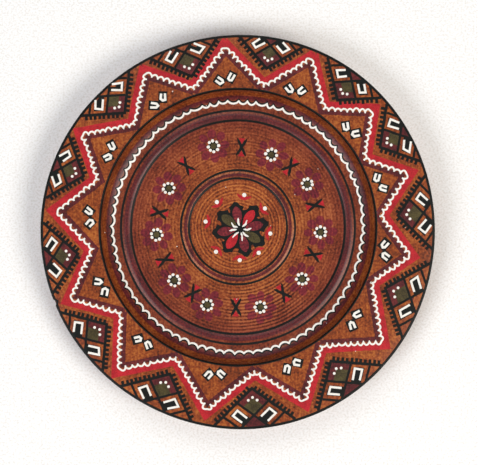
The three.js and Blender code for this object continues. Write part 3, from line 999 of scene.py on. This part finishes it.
# %% The star's white line
STAR_PITCH = 3.9 * MM
STAR_BULGE = 1.8 * MM
CUSP_IN = 0.5 * MM
CUSP_DRIFT = 0.1
HOOK = 1.0 * MM
cusps = []
hooks = []
for i, corner in enumerate(star):
    end = star[(i + 1) % len(star)]
    count = round((end - corner).length / STAR_PITCH)
    out = Vector((-(end - corner).y, (end - corner).x)).normalized()
    for j in range(count):
        drift = random.uniform(-CUSP_DRIFT, CUSP_DRIFT) * (j > 0)
        cusp = corner.lerp(end, (j + drift) / count) - out * CUSP_IN
        cusps.append(cusp)
        if j:
            tail = cusp - out * HOOK * random.uniform(0.4, 1.1)
            hooks.append(line([cusp, tail], SCALLOP_LINE * 0.9))
bm = bmesh.new()
white_path = scalloped(cusps, STAR_BULGE, True)
brush_lines(bm, [line(white_path, SCALLOP_LINE, closed=True)], WHITE_LIFT, WHITE_CROWN)
brush_lines(bm, hooks, WHITE_LIFT * 0.9, WHITE_CROWN)
star_line = finish_piece("star_scallop_line", bm, white_enamel)
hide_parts("white_star_line")

# %% [markdown]
# ## The woven fields between the points
# In each valley of the star stands a lozenge net, as in a kilim: a dark comb-edged V, lozenges of
# olive and wine, and white hooked squares. Every field has its own upright and two slanting
# arms, and all its parts are placed by counting cells along those arms. A deeper field has
# larger cells. A class keeps each field's bearing, starting point and scale together.

# %% A field's net
ARM_ANGLE = math.radians(50)
CELL = 11.4 * MM
USUAL_DEPTH = 20.3 * MM
NET_INSET = 1.1 * MM
PAINT_LIMIT = PLATE_RADIUS - 1.0 * MM
OVERRUN = 0.7 * MM
GROWTH = 0.6


class Net:
    def __init__(self, bearing, distance):
        self.bearing = bearing
        self.origin = spot(bearing, distance - NET_INSET)
        self.out = self.origin.normalized()
        self.scale = ((PLATE_RADIUS - distance) / USUAL_DEPTH) ** GROWTH

    def cell(self, left, right):
        """The point so many cells along the left arm and the right arm."""
        size = CELL * self.scale
        across = (right - left) * size * math.sin(ARM_ANGLE)
        outward = (left + right) * size * math.cos(ARM_ANGLE)
        return local(self.origin, self.bearing, across, outward)

    def beside(self, across, outward):
        return local(self.origin, self.bearing, across * self.scale, outward * self.scale)

    def to_edge(self, start, end):
        """Where a line from start through end reaches the rim."""
        step = (end - start).normalized()
        along = start.dot(step)
        reach = math.sqrt(along ** 2 - start.length_squared + PAINT_LIMIT ** 2) - along
        return start + step * (reach + OVERRUN)

    def patch(self, bm, corners, lift):
        """A flat lozenge of colour, cut off straight at the rim."""
        middle = bm.verts.layers.float.get("middle") or bm.verts.layers.float.new("middle")
        face = bm.faces.new([bm.verts.new((corner.x, corner.y, 0)) for corner in corners])
        geom = [face, *face.verts, *face.edges]
        rim = self.out.to_3d() * PAINT_LIMIT
        cut = bmesh.ops.bisect_plane(bm, geom=geom, plane_co=rim, plane_no=rim, clear_outer=True)
        kept = [item for item in cut["geom"] if isinstance(item, bmesh.types.BMFace) and item.is_valid]
        thicken(bm, kept, lift, 0.0, middle)


nets = [Net(bearing, distance * MM) for *_, bearing, distance in STAR_POINTS]
print(len(nets), "fields of net")

# %% [markdown]
# The colours go down first, thin as stain: olive in the first lozenge with a wine V along its
# inner sides, and wine in the outer one, which the rim cuts off.

# %% Lozenges of colour
FIRST_BORDER = 3.7 * MM
olive = bmesh.new()
wine = bmesh.new()
for net in nets:
    net.patch(olive, [net.cell(0, 0), net.cell(1, 0), net.cell(1, 1), net.cell(0, 1)], STAIN_LIFT)
    net.patch(wine, [net.cell(1, 1), net.cell(2, 1), net.cell(2, 2), net.cell(1, 2)], STAIN_LIFT)
    border = offset([net.cell(1, 0), net.cell(0, 0), net.cell(0, 1)], FIRST_BORDER / 2)
    brush_lines(wine, [line(border, FIRST_BORDER)], STAIN_LIFT * 1.6, 0)
finish_piece("net_olive_lozenges", olive, olive_enamel, smooth=False)
finish_piece("net_wine_lozenges", wine, wine_stain, smooth=False)

# %% [markdown]
# Next comes the black-green: the V with its comb of teeth, the lines between the cells, and the
# dark middles of the hooked squares. A square's corners are shares of a cell, counted from the
# cell's middle along its arm and across it.

# %% A hooked square
HOOKED_SQUARE = ((0.32, 0.19), (-0.26, 0.19), (-0.26, -0.19), (0.32, -0.19))
SQUARE_GROUND = 1.4


def hooked_square(net, side, growth=1.0):
    """The corners of the square in the left or the right cell, open towards its own arm's far end."""
    corners = []
    for along, across in HOOKED_SQUARE:
        along, across = along * growth, across * growth
        if side == "right":
            corners.append(net.cell(0.5 + along, 1.5 + across))
        else:
            corners.append(net.cell(1.5 + across, 0.5 + along))
    return corners


print("a hooked square has", len(hooked_square(nets[0], "left")), "corners")

# %% [markdown]
# Each comb is one stroke down both arms, with short teeth on its outer side. The teeth start inside
# the stroke, so they can't come apart from it. The lattice lines run on from cell to cell until
# they reach the rim, and each direction lies at its own height, so that crossings stay clean.

# %% Combs and lattice
COMB_WIDTH = 1.8 * MM
TOOTH_PITCH = 2.85 * MM
TOOTH_LENGTH = 2.5 * MM
TOOTH_WIDTH = 1.8 * MM
LATTICE_LINE = 1.5 * MM
TOOTH_START = 0.35
STROKE_STEP = 2 * MM
STROKE_SHAKE = 0.08 * MM


def comb_teeth(foot, end, side):
    step = (end - foot).normalized()
    away = Vector((step.y, -step.x)) * side
    teeth = []
    for i in range(int((end - foot).length / TOOTH_PITCH)):
        along = TOOTH_PITCH * (i + TOOTH_START) + unsteady(0.2 * MM)
        root = foot + step * along + away * COMB_WIDTH * 0.8
        teeth.append(line([root, root + away * (TOOTH_LENGTH + unsteady(0.3 * MM))], TOOTH_WIDTH))
    return teeth


combs = bmesh.new()
lattice = bmesh.new()
for net in nets:
    start = net.cell(0, 0)
    left_end = net.to_edge(start, net.cell(1, 0))
    right_end = net.to_edge(start, net.cell(0, 1))
    vee = offset([left_end, start, right_end], -COMB_WIDTH / 2)
    brush_lines(combs, [line(vee, COMB_WIDTH, STROKE_STEP, shake=STROKE_SHAKE)], LINE_LIFT * 0.8, 0)
    teeth = comb_teeth(start, left_end, -1) + comb_teeth(start, right_end, 1)
    brush_lines(combs, teeth, LINE_LIFT * 0.7, 0)
    for far in (1, 2):
        for first, towards, lift in ((net.cell(far, 0), net.cell(far, 1), LINE_LIFT * 0.8),
                                     (net.cell(0, far), net.cell(1, far), LINE_LIFT * 0.9)):
            if first.length < PAINT_LIMIT - STROKE_STEP:
                slat = line([first, net.to_edge(first, towards)], LATTICE_LINE, STROKE_STEP,
                            shake=STROKE_SHAKE)
                brush_lines(lattice, [slat], lift, 0)
    for side in ("left", "right"):
        net.patch(lattice, hooked_square(net, side, SQUARE_GROUND), LINE_LIFT * 0.6)
finish_piece("net_combs", combs, black_enamel, smooth=False)
finish_piece("net_lattice", lattice, black_enamel, smooth=False)

# %% [markdown]
# The white comes last and thickest: a hooked square in each side cell, and three dots in the
# olive lozenge.

# %% White on the nets
SQUARE_LINE = 1.35 * MM
NET_DOT = 1.8 * MM
NET_DOTS = ((-2.7, 5.9), (0, 4.3), (2.7, 5.9))
SQUARE_SHAKE = 0.5 * MM
DOT_SHAKE = 0.2 * MM
bm = bmesh.new()
for net in nets:
    for side in ("left", "right"):
        corners = shaky(hooked_square(net, side), SQUARE_SHAKE)
        brush_lines(bm, [line(corners, SQUARE_LINE)], WHITE_LIFT, WHITE_CROWN)
    for across, outward in NET_DOTS:
        place = net.beside(across * MM + unsteady(DOT_SHAKE), outward * MM + unsteady(DOT_SHAKE))
        dab(bm, place.x, place.y, NET_DOT, NET_DOT, 0, WHITE_LIFT, WHITE_CROWN)
finish_piece("net_white_marks", bm, white_enamel)

# %% [markdown]
# ## Twin hooks in the star's points
# Each point of the star holds a pair of small white hooks, like two horseshoes leaning apart,
# each on a black ground. A hook is one stroke round five corners. The two grounds of a pair lie at
# slightly different heights, because they meet in the middle.

# %% Twin hooks
HOOK_FROM_LIP = 6.5 * MM
HOOK_APART = 3.85 * MM
HOOK_WIDTH = 2.7 * MM
HOOK_LENGTH = 4.5 * MM
HOOK_LINE = 1.5 * MM
GROUND_WIDTH = 5.9 * MM
GROUND_LENGTH = 7.2 * MM
PAIR_LEAN = -12
HOOK_LEAN = 45
HOOK_SHAKE = 0.3 * MM
bm = bmesh.new()
grounds = bmesh.new()
for tip, *_ in STAR_POINTS:
    bearing = tip - 0.6 + random.uniform(-0.6, 0.6)
    outward = spot(bearing, 1)
    middle_point = outward * (LIP + HOOK_FROM_LIP + FACE.xy.dot(outward))
    for side in (-1, 1):
        upright = bearing + PAIR_LEAN
        centre = local(middle_point, upright, side * HOOK_APART, 0)
        lean = upright + side * HOOK_LEAN
        half, reach = HOOK_WIDTH / 2, HOOK_LENGTH / 2
        bend = -reach * 0.6
        corners = ((-half, reach), (-half, bend), (0, -reach), (half, bend), (half, reach))
        hook = shaky([local(centre, lean, *corner) for corner in corners], HOOK_SHAKE)
        brush_lines(bm, [line(hook, HOOK_LINE)], WHITE_LIFT, WHITE_CROWN)
        across, along = GROUND_WIDTH + unsteady(0.3 * MM), GROUND_LENGTH + unsteady(0.4 * MM)
        lift = LINE_LIFT * (0.7 + 0.1 * side)
        dab(grounds, *centre, across, along, lean + random.uniform(-5, 5), lift, 0, corners=4)
finish_piece("point_hooks", bm, white_enamel)
finish_piece("point_hook_grounds", grounds, black_enamel, smooth=False)

# %% [markdown]
# ## Flowers and crosses in the well
# Ten flowers and ten crosses take turns round the well. A flower is eight petals of crimson stain,
# a dark olive eye in a black ring, and eight white dots. All the petals go into one piece, all the
# dots into another, and so on, as the painter went round with one colour at a time.

# %% Flowers
# Each flower's bearing and its distance from the well's axis in mm.
FLOWERS = ((24.6, 51.2), (58.1, 52.2), (93.4, 53), (128.9, 52.8), (164.3, 53.1),
           (201.6, 53.5), (230.3, 53.1), (264.9, 52.4), (299.3, 50.8), (343.1, 54.4))
PETALS = 8
PETAL_CIRCLE = 7.5 * MM
PETAL = 5.2 * MM
DOT_CIRCLE = 3.45 * MM
FLOWER_DOT = 2.05 * MM
FLOWER_EYE = 3.8 * MM
EYE_RING = FLOWER_EYE * 1.7
petals = bmesh.new()
eyes = bmesh.new()
eye_rings = bmesh.new()
dots = bmesh.new()
for bearing, radius in FLOWERS:
    centre = spot(bearing, radius * MM, FACE_2D)
    turn = random.uniform(-12, 12)
    for i in range(PETALS):
        angle = turn + 360 * i / PETALS
        petal = spot(angle, PETAL_CIRCLE + unsteady(0.5 * MM), centre)
        wide = PETAL * random.uniform(0.9, 1.12)
        dab(petals, *petal, wide, PETAL * random.uniform(1.15, 1.35), angle, STAIN_LIFT, 0)
        dot = spot(angle + random.uniform(-5, 5), DOT_CIRCLE + unsteady(0.25 * MM), centre)
        dab(dots, *dot, FLOWER_DOT, FLOWER_DOT * random.uniform(0.85, 1.1), angle,
            WHITE_LIFT, WHITE_CROWN)
    dab(eye_rings, *centre, EYE_RING, EYE_RING, 0, STAIN_LIFT * 1.8, 0, corners=16)
    dab(eyes, *centre, FLOWER_EYE, FLOWER_EYE, 0, LINE_LIFT * 1.1, 0, corners=16)
finish_piece("flower_petals", petals, crimson_stain)
finish_piece("flower_eye_rings", eye_rings, black_enamel)
finish_piece("flower_eyes", eyes, olive_enamel)
finish_piece("flower_dots", dots, white_enamel)

# %% [markdown]
# A cross is two quick black strokes with fine ends, and a small scarlet touch above and below it.
# The touches are triangles that point to the middle of the cross.

# %% Crosses
CROSSES = (2.6, 40.8, 74.1, 109.9, 145.7, 181.5, 214.4, 246, 280.5, 319.9)
CROSS_RADIUS = 51.3 * MM
CROSS_LINE = 1.7 * MM
CROSS_STROKE = 12.8 * MM
CROSS_LEAN = 30
TOUCH = 4.8 * MM
TOUCH_OUT = 4.6 * MM
strokes = []
touches = bmesh.new()
for bearing in CROSSES:
    centre = spot(bearing, CROSS_RADIUS, FACE_2D)
    for side in (-1, 1):
        lean = bearing + side * (CROSS_LEAN + random.uniform(-4, 4))
        ends = [spot(lean, -CROSS_STROKE / 2, centre), spot(lean, CROSS_STROKE / 2, centre)]
        strokes.append(line(ends, CROSS_LINE, 2 * MM, taper=1.5 * MM, shake=0.12 * MM))
        touch = spot(bearing, TOUCH_OUT * side, centre)
        facing = bearing + 180 if side > 0 else bearing
        dab(touches, *touch, TOUCH, TOUCH, facing, LINE_LIFT * 0.8, 0, corners=3)
bm = bmesh.new()
brush_lines(bm, strokes, LINE_LIFT, 0)
finish_piece("well_crosses", bm, black_enamel)
finish_piece("cross_touches", touches, scarlet_enamel)

# %% [markdown]
# ## The rosette
# Eight notched leaves open from the middle of the plate, black-green with crimson, scarlet or
# olive hearts. A leaf is a filled circle drawn out to a point at both ends, and every third vertex
# of its outline is pushed out as a tooth. A heart is the same shape, narrower and without teeth.

# %% Rosette leaves
ROSETTE = Vector((FACE_X + 1.5 * MM, FACE_Y - 1.3 * MM))
LEAVES = ((-12, "crimson"), (36, "scarlet"), (77, "crimson"), (122, "olive"),
          (166, "crimson"), (215, "scarlet"), (262, "crimson"), (307, "olive"))
LEAF_TIP = 18.3 * MM
HEART_TIP = 15.0 * MM
LEAF_WIDTH = 8.3 * MM
HEART_WIDTH = 5.8 * MM
LEAF_START = 1 * MM
HEART_START = 3 * MM
OUTLINE = 30
TOOTH = 0.4


def leaf(bm, bearing, inner, outer, width, tooth, lift):
    middle = bm.verts.layers.float.get("middle") or bm.verts.layers.float.new("middle")
    ring = bmesh.ops.create_circle(bm, cap_ends=True, segments=OUTLINE, radius=1)["verts"]
    for i, vert in enumerate(ring):
        taper = abs(vert.co.x) ** 0.5 * (1 + tooth * (i % 3 == 1)) * (1 + 0.25 * vert.co.y)
        vert.co = (vert.co.x * taper * width / 2,
                   (outer + inner) / 2 + vert.co.y * (outer - inner) / 2, 0)
    place = Matrix.Translation(ROSETTE.to_3d()) @ Matrix.Rotation(-math.radians(bearing), 4, "Z")
    bmesh.ops.transform(bm, matrix=place, verts=ring)
    cap = list({face for vert in ring for face in vert.link_faces})
    poked = bmesh.ops.poke(bm, faces=cap)
    thicken(bm, poked["faces"], lift, 0, middle)


ROSETTE_EYE = 4.6 * MM
hearts = {"crimson": bmesh.new(), "scarlet": bmesh.new(), "olive": bmesh.new()}
leaves = bmesh.new()
for bearing, colour in LEAVES:
    tip = LEAF_TIP + unsteady(0.5 * MM)
    leaf(leaves, bearing, LEAF_START, tip, LEAF_WIDTH, TOOTH, LINE_LIFT * 0.6)
    leaf(hearts[colour], bearing, HEART_START, HEART_TIP, HEART_WIDTH, 0, LINE_LIFT * 1.6)
dab(leaves, *ROSETTE, ROSETTE_EYE, ROSETTE_EYE, 0, LINE_LIFT, 0)
finish_piece("rosette_leaves", leaves, black_enamel, smooth=False)
heart_finishes = {
    "crimson": (crimson_stain, "wine_paint"),
    "scarlet": (scarlet_enamel, "scarlet_paint"),
    "olive": (olive_enamel, "olive_paint"),
}
for colour, (finish, slot) in heart_finishes.items():
    finish_piece(f"rosette_{colour}_hearts", hearts[colour], finish, smooth=False)

# %% [markdown]
# Eight short white rays cross the hearts. Each was flicked out from the middle, so it bends a
# little.

# %% Rosette rays
RAY_LINE = 1.25 * MM
RAYS = (-11, 43, 90, 134, 167, 217, 261, 302)
RAY_REACHES = (2.2, 4.6, 7.3)
RAY_BEND = 9
rays = []
for bearing in RAYS:
    ray = [spot(bearing + unsteady(RAY_BEND), reach * MM + unsteady(0.3 * MM), ROSETTE)
           for reach in RAY_REACHES]
    rays.append(line(ray, RAY_LINE, 1.2 * MM, taper=0.4 * MM))
bm = bmesh.new()
brush_lines(bm, rays, WHITE_LIFT, WHITE_CROWN)
finish_piece("rosette_rays", bm, white_enamel)

# %% [markdown]
# Eight white dots ring the rosette, each cupped by a scarlet crescent on the side of the centre.

# %% Dots and crescents
CUPPED_DOTS = (-40, 11, 55, 101, 141, 177, 222, 280)
CUP_RADIUS = 21.1 * MM
CUPPED_DOT = 2.7 * MM
CRESCENT = 9 * MM
CRESCENT_BRUSH = 2.6 * MM
CRESCENT_IN = 2.0 * MM
CRESCENT_SAG = 1.8 * MM
BOW_STEPS = 8
bm = bmesh.new()
crescents = []
for bearing in CUPPED_DOTS:
    place = spot(bearing, CUP_RADIUS, FACE_2D)
    dab(bm, *place, CUPPED_DOT, CUPPED_DOT, bearing, WHITE_LIFT, WHITE_CROWN)
    bow = []
    for i in range(BOW_STEPS + 1):
        share = 2 * i / BOW_STEPS - 1
        outward = CRESCENT_SAG * share ** 2 - CRESCENT_IN
        bow.append(local(place, bearing, share * CRESCENT / 2, outward))
    crescents.append(line(bow, CRESCENT_BRUSH, taper=CRESCENT * 0.45))
finish_piece("cupped_dots", bm, white_enamel)
bm = bmesh.new()
brush_lines(bm, crescents, LINE_LIFT * 0.8, 0)
finish_piece("dot_crescents", bm, scarlet_enamel)

# %% [markdown]
# A few specks of white flew off the brush as the painter worked, and were varnished over. They are
# strewn over the plate by the seeded series, so they fall in the same places each time.

# %% Stray specks
SPECKS = 14
SPECK = 0.55 * MM
bm = bmesh.new()
for _ in range(SPECKS):
    place = spot(random.uniform(0, 360), random.uniform(20, 118) * MM)
    size = SPECK * random.uniform(0.7, 1.3)
    dab(bm, *place, size, size * random.uniform(0.8, 1.6), random.uniform(0, 180),
        LINE_LIFT, 0, corners=8)
finish_piece("white_specks", bm, white_enamel)

# %% [markdown]
# ## The hanger's metals
# Behind the plate a strap of pressed brass sheet holds a ring of drawn brass wire. The two screws
# that fix the strap are zinc-plated steel. A metal's colour is its reflection, so these keep the
# default IOR and are fully metallic. Slight tarnish varies the colour and the roughness together.

# %% Brass and steel
TARNISH_PATCH = 1.5 * MM
DULLED = 0.15


def worn_metal(name, dark, light, roughness):
    material, tree, shader = new_material(name)
    place = add(tree, "ShaderNodeTexCoord").outputs["Object"]
    tarnish = add(tree, "ShaderNodeTexNoise", Vector=place, Scale=1 / TARNISH_PATCH, Detail=4.0)
    colour = colour_steps(tree, tarnish.outputs["Fac"], (0.35, dark), (0.65, light))
    tree.links.new(colour, shader.inputs["Base Color"])
    dull = add(tree, "ShaderNodeMapRange", Value=tarnish.outputs["Fac"], i1=0.3, i2=0.7,
               i3=roughness + DULLED, i4=roughness)
    tree.links.new(dull.outputs[0], shader.inputs["Roughness"])
    shader.inputs["Metallic"].default_value = 1.0
    return material


# Warm yellow, soft highlights.
brass = worn_metal("pressed_brass_slightly_tarnished", "a5823e", "d0ad5e", 0.2)
# Bluish white, a little grainy.
steel = worn_metal("zinc_plated_steel", "8d9094", "bfc3c7", 0.28)
print("two metals mixed")

# %% [markdown]
# The frame already holds the hanger's true shapes, so each metal piece starts as a copy of its
# frame node. The copy's loose triangles are merged, its flat faces joined up, and its sharp edges
# get a fine bevel, as pressing and tumbling leave them. The ring is drawn wire, so its copy is
# rounded by a Subdivision Surface instead.

# %% Strap, screws and ring
PRESSED_EDGE = 0.1 * MM
FLAT = math.radians(3)
SHARP = math.radians(50)
JOIN_BELOW = 0.7


def merged_copy(node):
    bm = bmesh.new()
    bm.from_mesh(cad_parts[node].data)
    bmesh.ops.remove_doubles(bm, verts=bm.verts, dist=1e-6)
    return bm


def pressed(name, node, metal):
    bm = merged_copy(node)
    bmesh.ops.dissolve_limit(bm, angle_limit=FLAT, verts=bm.verts, edges=bm.edges)
    sharp = [edge for edge in bm.edges if edge.calc_face_angle(0) > SHARP]
    bmesh.ops.bevel(bm, geom=sharp, offset=PRESSED_EDGE, segments=2, affect="EDGES", profile=0.5,
                    material=-1, clamp_overlap=True)
    piece = finish_piece(name, bm, metal)
    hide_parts(node)


pressed("brass_strap", "hanger_strap", brass)
pressed("upper_screw", "hanger_screw_1", steel)
pressed("lower_screw", "hanger_screw_2", steel)

bm = merged_copy("hanger_ring")
bmesh.ops.join_triangles(bm, faces=bm.faces, angle_face_threshold=JOIN_BELOW,
                         angle_shape_threshold=JOIN_BELOW)
wire_ring = finish_piece("wire_ring", bm, brass, body="ring")
rounding = wire_ring.modifiers.new("rounding", "SUBSURF")
rounding.levels = rounding.render_levels = 2
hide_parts("hanger_ring")

# %% [markdown]
# ## The setting
# The plate lies on a white plastered ground. The plaster has a fine trowelled grit, just coarse
# enough to show, so that the plate's soft shadow has a surface to fall on. The ground is part of the
# stage and not of the plate.

# %% Ground
GRIT = 1.3 * MM
GROUND_GAP = 0.05 * MM
ground_z = cad_bounds[0].z - GROUND_GAP
bm = bmesh.new()
bmesh.ops.create_grid(bm, x_segments=1, y_segments=1, size=3)
bmesh.ops.translate(bm, verts=bm.verts, vec=(0, 0, ground_z))
mesh = bpy.data.meshes.new("plaster_ground")
bm.to_mesh(mesh)
bm.free()
ground = bpy.data.objects.new("plaster_ground", mesh)
bpy.context.scene.collection.objects.link(ground)
plaster, tree, shader = new_material("white_trowelled_plaster")
place = add(tree, "ShaderNodeTexCoord").outputs["Object"]
grit = add(tree, "ShaderNodeTexNoise", Vector=place, Scale=1 / GRIT, Detail=4.0)
bump = add(tree, "ShaderNodeBump", Strength=0.4, Distance=0.5 * MM, Height=grit.outputs["Fac"])
tree.links.new(bump.outputs[0], shader.inputs["Normal"])
colour = colour_steps(tree, grit.outputs["Fac"], (0.35, "efedea"), (0.55, "ffffff"))
tree.links.new(colour, shader.inputs["Base Color"])
shader.inputs["Roughness"].default_value = 0.8
mesh.materials.append(plaster)
print("ground at", round(ground_z / MM, 2), "mm")

# %% [markdown]
# Two large soft lamps stand on the near side, a warmer one to the right and a cooler one to the
# left, so the soft shadow falls to the far side. A third, larger and weaker, stands for the light
# that a pale wall sends back, and a dim world fills the rest. Bright surroundings would lift the
# black paint to grey.

# %% Lights
def soft_lamp(name, bearing, elevation, distance, size, power, colour):
    data = bpy.data.lights.new(name, "AREA")
    data.shape = "DISK"
    data.size = size
    data.energy = power
    data.color = linear(colour)[:3]
    lamp = bpy.data.objects.new(name, data)
    bpy.context.scene.collection.objects.link(lamp)
    level = math.cos(math.radians(elevation)) * distance
    height = math.sin(math.radians(elevation)) * distance
    lamp.location = spot(bearing, level).to_3d() + Vector((0, 0, height))
    lamp.rotation_euler = (-lamp.location).to_track_quat("-Z", "Y").to_euler()
    return lamp


LAMP_DISTANCE = 2.5
WORLD_STRENGTH = 0.14
soft_lamp("right_window", 118, 52, LAMP_DISTANCE, 1.2, 37, "fffaf2")
soft_lamp("left_window", 236, 50, LAMP_DISTANCE, 1.2, 27, "f8faff")
soft_lamp("far_wall", 350, 55, LAMP_DISTANCE, 1.8, 17, "ffffff")
world = bpy.data.worlds.new("soft_room")
bpy.context.scene.world = world
world.use_nodes = True
world.node_tree.nodes["Background"].inputs["Color"].default_value = linear("fbfaf8")
world.node_tree.nodes["Background"].inputs["Strength"].default_value = WORLD_STRENGTH
bpy.context.scene.view_settings.view_transform = "Standard"
print("three lamps", LAMP_DISTANCE, "m from the plate")

# %% [markdown]
# The camera looks straight down at the middle of the plate from 0.9 m above the rim, through a long
# lens, so the rim hides nothing of the well.

# %% Camera
CAMERA_HEIGHT = 0.9
camera_data = bpy.data.cameras.new("overhead_camera")
camera_data.lens = 107
camera_data.sensor_width = 36
camera = bpy.data.objects.new("overhead_camera", camera_data)
bpy.context.scene.collection.objects.link(camera)
camera.location = (0.25 * MM, -0.44 * MM, RIM_TOP + CAMERA_HEIGHT)
bpy.context.scene.camera = camera
print("camera", round(camera.location.z, 3), "m up")
